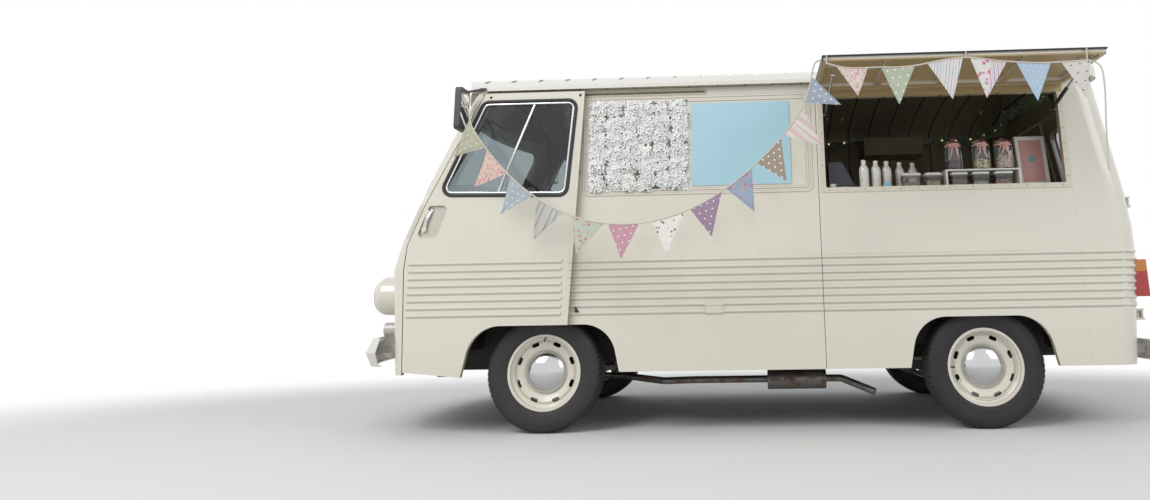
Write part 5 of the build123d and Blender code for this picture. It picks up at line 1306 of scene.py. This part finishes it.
# %% [markdown]
# ## Lid edge, latch, filler and tail
# The lid's rubber edge is one bead along three sides. The right rear leaf alone has the handle, and
# the left one carries the blank plate.

# %% Lid edge and tail fittings
edge = Shape()
lid_rim = [(458, -1000, 1960), (458, -1581, 1960), (1920, -1581, 1960), (1920, -1000, 1960)]
for start, end in zip(lid_rim, lid_rim[1:]):
    start, end = Vector(start), Vector(end)
    steps = [start.lerp(end, i / 10.0) for i in range(11)]
    edge.add(swept(steps, ring(5.0, 10), out=(0, 0, 1)))
edge.make("lid_edge", black_rubber, "hatch_lid")
latch = Shape().add(slab((466, -966, 1902), (494, -959, 1914), 2)) \
    .add(turned([(4, 0), (4.4, 1.2), (3, 2.0)], (480, -966, 1908), (0, -1, 0), 14))
latch.make("hatch_latch", bright_metal)
filler = Shape()
filler.add(turned([(4.5, 0), (5.0, 2.5), (3.0, 4.5)], (-122, -965.2, 677), (0, -1, 0), 16))
filler.add(swept([(-218, -965.6, 648), (-218, -965.6, 706)], ring(3.0, 8)))
filler.make("filler_hinge", looks["cream_paint"])

x = tail_at(1130) + 3
pull = Shape().add(slab((x, 34, 1092), (x + 7, 66, 1168), 3))
path = [(x + 6, 50, 1150), (x + 24, 50, 1146), (x + 30, 56, 1130), (x + 30, 96, 1126), (x + 28, 132, 1124)]
pull.add(swept(path, ring(7.5, 12, 0.7)))
pull.add(turned([(9, 0), (9.4, 2), (8, 5), (0.05, 5.4)], (x + 6, 50, 1108), (1, 0, 0), 20))
pull.make("rear_handle", chrome, "rear_door_right")
plate = Shape()
plate_x = tail_at(560)
plate.add(slab((plate_x + 1, -560, 506), (plate_x + 4, -100, 612), 1.2))
for y in (-520, -140):
    plate.add(screw((plate_x + 4, y, 559), (1, 0, 0), 4.0))
plate_face = plain("plate_face", (0.60, 0.58, 0.50), 0.4, grain=40.0, depth=0.00005, spread=0.06)
plate.make("rear_plate_blank", plate_face, "rear_door_left")
print("fittings made")

# %% [markdown]
# ## Flower panel
# A board of white artificial blooms. Heads of small four-petalled florets overlap at many angles over
# dark green leaves. Every petal is a small cupped sheet, since a bumped board would look flat from the
# side.

# %% Petals
dice = random.Random(7)
petals_each = 4


def petal_cloth():
    """White silk petals, greener at the heart and greyer between."""
    f = Finish("petal_cloth")
    layer = f.node("ShaderNodeTexCoord", out="UV")
    along = f.split(layer, 0)
    tint = f.split(layer, 1)
    shade = f.mix((0.66, 0.67, 0.52), (0.90, 0.90, 0.885), f.ramp(along, 0.0, 0.30))
    shade = f.mix(shade, (0.78, 0.79, 0.79), tint * 0.4)
    return f.done(f.noise(160.0, 2.0) * 0.0002, Base_Color=shade, Roughness=0.62 + tint * 0.2,
                  Sheen_Weight=0.2)


def leaf_green(name="leaf_green", light=(0.16, 0.22, 0.10), dark=(0.055, 0.085, 0.040)):
    """Spotted leaves."""
    f = Finish(name)
    spots = f.noise(45.0, 4.0, 0.6)
    return f.done(f.noise(260.0, 2.0) * 0.0003, Base_Color=f.mix(dark, light, spots),
                  Roughness=0.5 + spots * 0.2)


def frame_of(out, spin):
    """Three axes, the last of them outward, turned about it by spin."""
    out = out.normalized()
    side = out.orthogonal().normalized()
    side = Matrix.Rotation(spin, 3, out) @ side
    return side, out.cross(side), out


def petal(shape, flats, root, reach, width, cup, axes, tint):
    """A cupped petal of three by four points."""
    side, other, out = axes
    points, marks = [], []
    for i in range(4):
        s = i / 3.0
        half = width * (0.28 + 1.25 * s * (1.25 - s)) / 2
        for j in (-1, 0, 1):
            lift = cup * (s ** 1.6) + abs(j) * width * 0.12
            points.append(root + side * (reach * s) + other * (half * j) + out * lift)
            marks.append((s, tint))
    quads = [(i * 3 + j, i * 3 + j + 1, i * 3 + j + 4, i * 3 + j + 3) for i in range(3) for j in range(2)]
    shape.add((points, quads))
    flats += marks


def florets(shape, flats, place, out, size):
    """One floret of four petals, each a little different."""
    spin = dice.uniform(0, math.pi)
    tint = dice.random()
    for k in range(petals_each):
        axes = frame_of(out, spin + k * 2 * math.pi / petals_each + dice.uniform(-0.15, 0.15))
        petal(shape, flats, place, size * dice.uniform(0.85, 1.1), size * 0.95,
              size * dice.uniform(0.05, 0.40), axes, tint * 0.6 + dice.random() * 0.4)


def give_uv(made, flats):
    """Each petal's place along itself and its tint, for its material."""
    layer = made.data.uv_layers.new(name="leaf")
    for corner in made.data.loops:
        layer.data[corner.index].uv = flats[corner.vertex_index]


print("petal tools ready")

# %% [markdown]
# ## Flower panel: blooms and leaves
# Thirty florets are laid over each head by the golden angle, as seeds lie in a flower, so they never
# line up. The heads stand in a loose grid that fills the board.

# %% Blooms and leaves
blooms, bloom_flats = Shape(), []
left_x, right_x, low_z, high_z = -890.0, -314.0, 1362.0, 1890.0
columns, rows = 6, 6
florets_each, head_radius, golden_angle, margin = 30, 62.0, 2.39996, 6
for i in range(columns):
    for j in range(rows):
        middle = Vector((left_x + (i + 0.5) * (right_x - left_x) / columns + dice.uniform(-14, 14),
                         -947.0, low_z + (j + 0.5) * (high_z - low_z) / rows + dice.uniform(-14, 14)))
        for k in range(florets_each):
            radius = head_radius * math.sqrt((k + 0.5) / florets_each)
            angle = k * golden_angle + i + j
            rise = 34.0 * (1 - (radius / 78.0) ** 2) + dice.uniform(-5, 4)
            place = middle + Vector((radius * math.cos(angle), -rise, radius * math.sin(angle)))
            place.x = min(max(place.x, left_x + margin), right_x - margin)
            place.z = min(max(place.z, low_z + margin), high_z - margin)
            tilt = Vector((math.cos(angle) * radius / 95.0, -1.0, math.sin(angle) * radius / 95.0))
            tilt += Vector((dice.uniform(-0.42, 0.42), 0, dice.uniform(-0.42, 0.42)))
            florets(blooms, bloom_flats, place, tilt, dice.uniform(15.0, 22.0))
bloom_piece = blooms.make("flower_blooms", petal_cloth(), "van", smooth=0, recalc=False)
give_uv(bloom_piece, bloom_flats)
mm((-600, -940, 1626))
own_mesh(bloom_piece)
leaves, leaf_flats = Shape(), []
for _ in range(170):
    place = Vector((dice.uniform(left_x + 4, right_x - 4), -966.0, dice.uniform(low_z + 4, high_z - 4)))
    axes = frame_of(Vector((dice.uniform(-0.4, 0.4), -1, dice.uniform(-0.4, 0.4))), dice.uniform(0, 6.28))
    petal(leaves, leaf_flats, place, dice.uniform(20, 34), dice.uniform(10, 15), 3, axes, dice.random())
leaf_piece = leaves.make("flower_leaves", leaf_green(), "van", smooth=0, recalc=False)
mm((-600, -960, 1626))
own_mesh(leaf_piece)
print("petal faces", len(bloom_piece.data.polygons), "leaf faces", len(leaf_piece.data.polygons))

# %% [markdown]
# ## Counter kit: bottles and tubs
# Milk bottles and clear tubs with white lids. They replace the plain CAD solids and stand in the same
# places. A glass or tub has an inner and an outer wall, so that it looks hollow, and its filling is a
# piece of its own.

# %% Bottles and tubs


def shiny(name, colour, rough=0.25):
    """Moulded plastic or coated card, with faint smears."""
    f = Finish(name)
    smear = f.noise(22.0, 4.0, 0.6)
    return f.done(smear * 0.0001, Base_Color=f.mix(colour, tuple(c * 0.88 for c in colour), smear),
                  Roughness=rough + smear * 0.12)


def bottle_glaze():
    """White bottles with a small brown-pink sprig on the front, and no lettering."""
    f = Finish("bottle_glaze")
    low = (abs(f.z - 1.398) < 0.012) * (f.noise(150.0, 3.0, 0.7) > 0.52)
    near = f.cells(95.0)
    sprig = low * (near < 0.42) * (f.ny < -0.75)
    shade = f.mix((0.66, 0.65, 0.61), (0.34, 0.16, 0.12), sprig * 0.9)
    return f.done(f.noise(30.0) * 0.0001, Base_Color=shade, Roughness=0.16 + f.noise(40.0) * 0.1,
                  Coat_Weight=0.5)


white_plastic = shiny("white_plastic", (0.70, 0.70, 0.69), 0.3)
clear_plastic = clear("clear_plastic", (0.90, 0.92, 0.92), 0.04)
jar_glass = clear("jar_glass", (0.93, 0.96, 0.95), 0.01)
counter_z, ware_y = 1346.0, -850.0
ware = ("serving_ware",)
bottles = Shape()
for x, y in ((738, -860), (813, -830), (882, -800), (969, -745), (1054, -715)):
    profile = [(0.05, 0.6), (24, 0), (27.5, 2.5), (28.6, 8), (28.8, 112), (28.0, 122), (24.5, 132),
               (19.0, 140), (15.5, 146), (13.6, 152), (13.2, 158), (14.6, 159), (14.8, 170),
               (13.6, 173.5), (8, 174.6), (0.05, 174.8)]
    bottles.add(turned(profile, (x, y, counter_z), count=40))
bottles.make("milk_bottles", bottle_glaze(), stands_for=ware)


def square_rows(half, corner, heights, place):
    """Rows of a square tub with round corners, from (share of the width, height) pairs."""
    loop = rounded_loop([(-half, -half), (half, -half), (half, half), (-half, half)], corner, 4)
    rows = []
    for grow, height in heights:
        rows.append([Vector((p.x * grow + place[0], p.y * grow + place[1], place[2] + height)) for p in loop])
    return rows


tubs, tub_lids, tub_fill = Shape(), Shape(), Shape()
sugar = [(0.62, 0.36, 0.30), (0.60, 0.50, 0.28), (0.30, 0.16, 0.10), (0.66, 0.62, 0.52), (0.52, 0.24, 0.20)]
for number, (x, radius) in enumerate(((1012, 60), (1140, 55), (1291, 56), (1417, 57), (1548, 61))):
    half = radius * 0.88
    place = (x, ware_y, counter_z)
    heights = [(0.86, 0.4), (0.90, 2), (0.985, 72), (1.0, 74), (0.955, 74), (0.945, 70), (0.87, 4), (0.82, 3)]
    tubs.add(loft(square_rows(half, 14, heights, place)))
    lid = [(0.98, 70.5), (1.035, 71), (1.04, 80), (1.0, 83), (0.93, 83), (0.90, 86), (0.84, 87.6),
           (0.30, 87.9)]
    tub_lids.add(loft(square_rows(half, 15, lid, place)))
    fill_rows = square_rows(half * 0.80, 12, [(1.0, 5), (1.04, 26 + number % 3 * 9),
                                              (0.9, 31 + number % 3 * 9)], place)
    tub_fill.add(loft(fill_rows), number)
tubs.make("tub_bodies", clear_plastic, stands_for=ware)
tub_lids.make("tub_lids", white_plastic, stands_for=ware)


def crumbs(name, colour, second, scale=150.0):
    """A heap of small sweets or crumbs, with painted shade in the gaps between them."""
    f = Finish(name)
    near = f.cells(scale)
    tint = f.split(f.cells(scale, "Color"), 0)
    # Painted shade: the cells are darkened towards their edges, where the pieces meet.
    shade = f.mix(f.mix(colour, second, tint), (0.06, 0.04, 0.03), f.ramp(near, 0.45, 0.75) * 0.7)
    return f.done((0.6 - near) * 0.004, Base_Color=shade, Roughness=0.45 + tint * 0.2)


tub_fill.make("tub_fill", [crumbs(f"tub_crumbs_{n + 1}", c, tuple(v * 0.6 for v in c))
                           for n, c in enumerate(sugar)], stands_for=ware)

print("bottle, tub and filling faces", len(bottles.faces), len(tubs.faces), len(tub_fill.faces))

# %% [markdown]
# ## Counter kit: jars
# Storage jars with a swing-top: thick blown glass, a domed glass lid on a rubber seal, and a wire
# round the neck. All are round, so all are turned.

# %% Jars
riser_top = 1445.0
jar_mats = [crumbs("jar_plums", (0.10, 0.035, 0.07), (0.05, 0.02, 0.05), 70.0),
            crumbs("jar_toffees", (0.66, 0.52, 0.24), (0.72, 0.62, 0.44), 75.0),
            crumbs("jar_mallows", (0.66, 0.38, 0.36), (0.72, 0.66, 0.46), 85.0)]
jars, jar_lids, jar_fill, jar_seals = Shape(), Shape(), Shape(), Shape()
jar_table = [(1274.0, 51.0, 0.40), (1436.0, 53.0, 0.44), (1570.0, 55.0, 0.62)]
for number, (x, r, level) in enumerate(jar_table):
    place = (x, ware_y, riser_top)
    wall = [(0.05, 1), (r - 8, 0.5), (r - 2, 3), (r - 0.5, 12), (r - 0.5, 124), (r - 2, 136),
            (r - 8, 148), (r - 13, 154), (r - 13, 159), (r - 16, 159), (r - 16, 153), (r - 11, 145),
            (r - 5, 134), (r - 3.5, 123), (r - 3.5, 12), (r - 6, 6), (0.05, 5)]
    jars.add(turned(wall, place, count=44))
    jar_seals.add(turned([(r - 15, 157), (r - 8.5, 157.4), (r - 7.8, 159.6), (r - 8.5, 161.6),
                          (r - 15, 162)], place, count=36))
    jar_lids.add(turned([(r - 16, 161), (r - 9, 161.5), (r - 8, 164), (r - 9, 168), (r - 15, 174),
                         (r - 24, 179), (17, 181), (13, 183), (13, 187), (10, 189.4), (0.05, 189.8)],
                        place, count=40))
    heap = [(0.05, 6.5), (r - 7, 7), (r - 4.6, 14), (r - 4.6, 120 * level), (r - 12, 120 * level + 8),
            (r - 26, 120 * level + 13), (0.05, 120 * level + 15)]
    jar_fill.add(turned(heap, place, count=36), number)
    wire_loop = [Vector((x + (r - 6) * math.cos(a), ware_y + (r - 6) * math.sin(a), riser_top + 155))
                 for a in (2 * math.pi * i / 28 for i in range(28))]
    jar_seals.add(swept(wire_loop, ring(1.3, 6), closed=True), 1)
jars.make("jar_glass_bodies", jar_glass, stands_for=ware)
jar_lids.make("jar_glass_lids", jar_glass, stands_for=ware)
jar_fill.make("jar_fill", jar_mats, stands_for=ware)
jar_seals.make("jar_seals", [plain("jar_rubber", (0.50, 0.22, 0.13), 0.5), bright_metal],
               stands_for=ware)

print("jar faces", len(jars.faces), "lid faces", len(jar_lids.faces))

# %% [markdown]
# ## Counter kit: ribbons
# A satin ribbon goes round each jar's neck and ends in a bow. It is one flat sheet that is bent only
# across its length, so its length is the sum of its runs.

# %% Ribbons


def ribbon_satin():
    """Pale pink satin with a fine cross rib."""
    f = Finish("ribbon_satin")
    rib = (f.z * 2 * math.pi / 0.0011).sine()
    tint = f.noise(30.0, 3.0)
    return f.done(rib * 0.00005, Base_Color=f.mix((0.72, 0.40, 0.36), (0.62, 0.30, 0.27), tint),
                  Roughness=0.42 + tint * 0.1, Sheen_Weight=0.3)


satin = ribbon_satin()
ribbon_width = 9.0


def band(path, width, side):
    """A run of ribbon that lies across a given side direction at each point, and its length in metres."""
    points = [Vector(p) for p in path]
    rows = [[p - Vector(s) * width / 2, p + Vector(s) * width / 2] for p, s in zip(points, side)]
    return (loft(rows, closed=False, capped=False),
            sum((b - a).length for a, b in zip(points, points[1:])) / 1000)


for number, (x, r, level) in enumerate(jar_table):
    shape, total = Shape(), 0.0
    y, z = ware_y, riser_top + 146.0
    around = [(x + (r - 3) * math.cos(a), y + (r - 3) * math.sin(a), z)
              for a in (2 * math.pi * i / 36 for i in range(37))]
    part, length = band(around, ribbon_width, [(0, 0, 1)] * 37)
    shape.add(part)
    total += length
    knot = Vector((x - 6, y - r - 1, z))
    for side in (-1, 1):
        loop_path = []
        for i in range(15):
            a = math.pi * 2 * i / 14
            loop_path.append(knot + Vector((side * 22 * (1 - math.cos(a)) / 1.6, -4 - 3 * math.sin(a),
                                            8 * math.sin(a) - 3 * (1 - math.cos(a)))))
        part, length = band(loop_path, ribbon_width, [(0, -0.5, 0.866)] * 15)
        shape.add(part)
        total += length
        tail = []
        for i in range(12):
            s = i / 11.0
            tail.append(knot + Vector((side * (4 + 26 * s ** 1.4 + 3 * math.sin(6 * s + number)),
                                       -5 - 3 * math.sin(5 * s), -72 * s - 4)))
        part, length = band(tail, ribbon_width, [(0.96, 0, 0.28)] * 12)
        shape.add(part)
        total += length
    made = shape.make(f"jar_ribbon_{number + 1}", satin, smooth=0, recalc=False)
    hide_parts("serving_ware")
    0.009 * total
    print("ribbon", number + 1, "length", round(total, 3))

# %% [markdown]
# ## Counter kit: card machine, card and cup
# The card machine is a wedge of dark plastic with a slot, so it is lofted from its side. A blue card
# and a spotted paper cup stand beside it.

# %% Card machine, card and cup
till = Shape()
profile = [(524, 1346.4), (676, 1346.4), (676, 1362), (612, 1500), (598, 1508), (530, 1508), (523, 1500)]
middle = Vector((590, 0, 1430))
rows = []
for y, grow in ((-898, 0.97), (-895, 1.0), (-795, 1.0), (-792, 0.97)):
    rows.append([(middle.x + (x - middle.x) * grow, y, max(1346.3, middle.z + (z - middle.z) * grow))
                 for x, z in profile])
till.add(loft(rows))
till.add(slab((534, -900.5, 1354), (640, -897, 1358), 1), 1)
till.make("card_machine", [plain("till_plastic", (0.022, 0.024, 0.032), 0.35, grain=300.0), bright_metal],
          stands_for=ware)
card = Shape()
card_rows = rounded_loop([(-22, 0), (22, 0), (22, 34), (-22, 34)], 8, 5)
card.add(loft([[(868 + p.x, -884 + p.y * 0.22, 1347 + p.y) for p in card_rows],
               [(868 + p.x, -882.6 + p.y * 0.22, 1347 + p.y) for p in card_rows]]))
card.make("blue_card", shiny("card_blue", (0.26, 0.50, 0.66), 0.5))
spotted = Finish("spotted_cup")
spot = spotted.cells(90.0) < 0.32
cup_material = spotted.done(spotted.noise(50.0) * 0.0001,
                            Base_Color=spotted.mix((0.70, 0.71, 0.72), (0.16, 0.28, 0.46), spot),
                            Roughness=0.3 + spotted.noise(30.0) * 0.1)
cups = Shape().add(turned([(0.05, 0.8), (17, 0.4), (18, 2), (21, 26), (22, 27), (20.5, 27), (17, 4),
                           (0.05, 3.5)], (545, -908, counter_z), count=30))
cups.make("paper_cup", cup_material)

print("card machine, card and cup faces", len(till.faces), len(card.faces), len(cups.faces))

# %% [markdown]
# ## Counter kit: the framed card
# Four rails round a printed sheet, blank here. The frame leans back as the CAD solid behind it does,
# so its parts are drawn upright and then turned about its foot.

# %% Framed card
menu = Shape()
menu_foot = Vector((1755, -800, counter_z + 1.4))
menu_turn = Matrix.Rotation(-math.radians(8.0), 3, "X")


def menu_slab(x0, x1, out0, out1, z0, z1, slot, bevel):
    """A block of the frame, drawn upright in front of the solid's face."""
    points, faces = slab((x0, -10 - out1, z0), (x1, -10 - out0, z1), bevel)
    menu.add(([menu_foot + menu_turn @ p for p in points], faces), slot)


for x0, x1, z0, z1 in ((-89, -68, 2, 310), (68, 89, 2, 310), (-68, 68, 288, 310), (-68, 68, 2, 26)):
    menu_slab(x0, x1, 0.2, 7.0, z0, z1, 0, 1.6)
menu_slab(-67, 67, 0.2, 1.4, 27, 287, 1, 0.2)
menu_slab(-20, 18, 1.4, 2.0, 150, 190, 2, 0.2)
menu.make("menu_card", [looks["display_white"], shiny("card_pink", (0.62, 0.33, 0.31), 0.5),
                        shiny("card_teal", (0.20, 0.38, 0.36), 0.5)])
print("framed card faces", len(menu.faces))

# %% [markdown]
# ## Garland
# Sprays of leaves along a wired stem that is clipped to the far wall and the tail, with small warm
# lights. The stem is smoothed from a rough route, and the leaves are petals of another size.

# %% Garland
stem_routes = [[(520, 868, 1938), (610, 874, 1952), (720, 878, 1944), (830, 876, 1954), (925, 868, 1950)],
               [(1452, 868, 1948), (1580, 876, 1956), (1720, 878, 1946), (1880, 870, 1958), (2010, 760, 1990),
                (2038, 430, 2045), (2040, 60, 2058), (2036, -380, 2010)]]


def below_roof(y):
    """The height of the lining over a place across the van."""
    return 1928.0 + 225.0 * (1.0 - (y / 958.0) ** 2)


stem_step, smoothings, leaves_a_step, steps_a_light = 14, 4, 9, 8
vine, vine_flats, lights, vine_stem, clips = Shape(), [], Shape(), Shape(), Shape()
for route in stem_routes:
    stem = []
    for start, end in zip(route, route[1:]):
        steps = int((Vector(end) - Vector(start)).length / stem_step)
        stem += [Vector(start).lerp(Vector(end), i / steps) for i in range(steps)]
    stem.append(Vector(route[-1]))
    for _ in range(smoothings):
        stem = [stem[0]] + [(a + b * 2 + c) / 4 for a, b, c in zip(stem, stem[1:], stem[2:])] + [stem[-1]]
    vine_stem.add(swept(stem, ring(3.0, 6)))
    for i, here in enumerate(stem):
        for _ in range(leaves_a_step):
            out = Vector((dice.uniform(-0.9, 0.9), dice.uniform(-1.0, 0.1), dice.uniform(-1.1, 0.6)))
            root = here + out * dice.uniform(0, 34)
            axes = frame_of(Vector((dice.uniform(-0.7, 0.7), -1, dice.uniform(-0.5, 0.5))),
                            dice.uniform(0, 6.28))
            reach = dice.uniform(24, 46)
            petal(vine, vine_flats, root, reach, reach * 0.45, dice.uniform(-8, 10), axes, dice.random())
        if i % steps_a_light == 4:
            lights.add(turned([(0.05, 0), (3.6, 1), (4.4, 4), (3.0, 8), (0.05, 10)],
                              here + Vector((0, -30, -8)), (0, -0.4, 1), 10))
    for x, y, z in route[1:-1]:
        clips.add(slab((x - 4, y - 2, z), (x + 4, y + 2, below_roof(y) - 1), 1.0))
for point in vine.points:
    point.z = min(point.z, below_roof(point.y) - 3)
    point.y = min(point.y, 912.0)
    point.x = min(point.x, 2062.0)
vine_stem.make("garland_stem", plain("stem_brown", (0.06, 0.04, 0.02), 0.7))
vine.make("garland_leaves", leaf_green("garland_green", (0.42, 0.50, 0.34), (0.16, 0.22, 0.14)),
          smooth=0, recalc=False)
bulb = Finish("warm_bulb")
glow = bulb.noise(60.0)
lights.make("garland_lights", bulb.done(Base_Color=(0.9, 0.75, 0.4), Roughness=0.2 + glow * 0.1,
                                        Emission_Color=bulb.mix((1.0, 0.72, 0.34), (1.0, 0.8, 0.5), glow),
                                        Emission_Strength=2.0))
clips.make("garland_clips", bright_metal)
print("garland leaves", len(vine.faces))

# %% [markdown]
# ## Screws of the wall box
# The box on the far wall is screwed through its front, in two rows. They are turned like the others.

# %% Box screws
box_screws = Shape()
for x in (1000, 1180, 1380):
    box_screws.add(screw((x, 629.6, 1925), (0, -1, 0), 5.5))
for x in (990, 1390):
    box_screws.add(screw((x, 629.6, 1822), (0, -1, 0), 4.0))
box_screws.make("box_screws", bright_metal)
print("box screw faces", len(box_screws.faces))

# %% [markdown]
# ## Seats
# Foam in sewn vinyl: crowned between its corners, pulled in along its seams, and flat only where it
# rests. Each pad is remeshed, blown up with Cloth against a cap, and then gets its sewn channels,
# because a remesh would rub them out. It is pressed flat again where it rests on its box.

# %% Padded seats
seam_depth = seam_width = 0.007


def flatten(made):
    """Keeps the result of the modifiers as the mesh."""
    graph = bpy.context.evaluated_depsgraph_get()
    done = bpy.data.meshes.new_from_object(made.evaluated_get(graph))
    made.modifiers.clear()
    made.data = done


def sewn_pad(name, low, high, channels, push, turn=None, rest_on=None):
    """A crowned vinyl pad. channels are the seams' places; push is how far it may swell, in metres.

    A cushion rests on a height and has its seams on top. A back has none, and its seams face forward.
    """
    points, faces = slab(low, high, 24.0, 3)
    mesh = bpy.data.meshes.new(name)
    mesh.from_pydata([mm(point) for point in points], [], faces)
    pad = bpy.data.objects.new(name, mesh)
    bpy.context.collection.objects.link(pad)
    remesh = pad.modifiers.new("even", "REMESH")
    remesh.mode, remesh.voxel_size = "VOXEL", 0.010
    flatten(pad)
    start = [v.co.copy() for v in pad.data.vertices]
    cloth = pad.modifiers.new("cloth", "CLOTH")
    cloth.settings.quality = 4
    cloth.settings.tension_stiffness = cloth.settings.compression_stiffness = 12
    cloth.settings.use_pressure = True
    cloth.settings.uniform_pressure_force = 4.0
    cloth.settings.effector_weights.gravity = 0.0
    for step in range(1, 21):
        bpy.context.scene.frame_set(step)
    flatten(pad)
    bpy.context.scene.frame_set(1)
    middle = mm([(a + b) / 2 for a, b in zip(low, high)])
    half = Vector([(b - a) / 2000 for a, b in zip(low, high)])
    thin = min(range(3), key=lambda k: half[k])
    faces_to = -1 if rest_on is None else 1
    for vertex, origin in zip(pad.data.vertices, start):
        move = vertex.co - origin
        if move.length > push:
            move *= push / move.length
        place = origin + move
        for at in channels:
            gap = abs(place.y - (at + centre_shift) / 1000)
            top = min(1.0, max(0.0, (faces_to * (place - middle)[thin] / half[thin] - 0.2) * 3))
            place[thin] -= faces_to * seam_depth * math.exp(-(gap / seam_width) ** 2) * top
        if rest_on is not None:
            place.z = max(place.z, rest_on / 1000)
        vertex.co = place
    pad.data.materials.append(seat_vinyl)
    smooth = pad.modifiers.new("smooth", "SUBSURF")
    smooth.levels = smooth.render_levels = 1
    flatten(pad)
    pad.data.shade_smooth()
    if turn:
        pad.data.transform(turn)
    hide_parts("seats")
    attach(pad, "van")
    print(name, "faces", len(pad.data.polygons))


seat_vinyl = vinyl("seat_cover", (0.105, 0.050, 0.028))
seat_box_paint = plain("seat_box_paint", (0.05, 0.047, 0.043), 0.5, grain=90.0)
boxes = Shape()
seat_y, cushion_low, cushion_top, back_top = 590, 802, 888, 1440
for word, side in sides:
    y = side * seat_y
    channels = [y + offset for offset in (-150, -75, 0, 75, 150)]
    sewn_pad(f"seat_cushion_{word}", (-1490, y - 230, cushion_low), (-1022, y + 230, cushion_top), channels,
             0.012, rest_on=cushion_low)
    foot = mm((-1095, 0, 895))
    lean_back = Matrix.Translation(foot) @ Matrix.Rotation(math.radians(6), 4, "Y") \
        @ Matrix.Translation(-foot)
    sewn_pad(f"seat_back_{word}", (-1138, y - 222, 900), (-1052, y + 222, back_top), channels, 0.012,
             turn=lean_back)
    boxes.add(slab((-1440, y - 205, 712.4), (-1030, y + 205, 800), 4))
boxes.make("seat_boxes", seat_box_paint, stands_for=("seats",))
print("seats made")
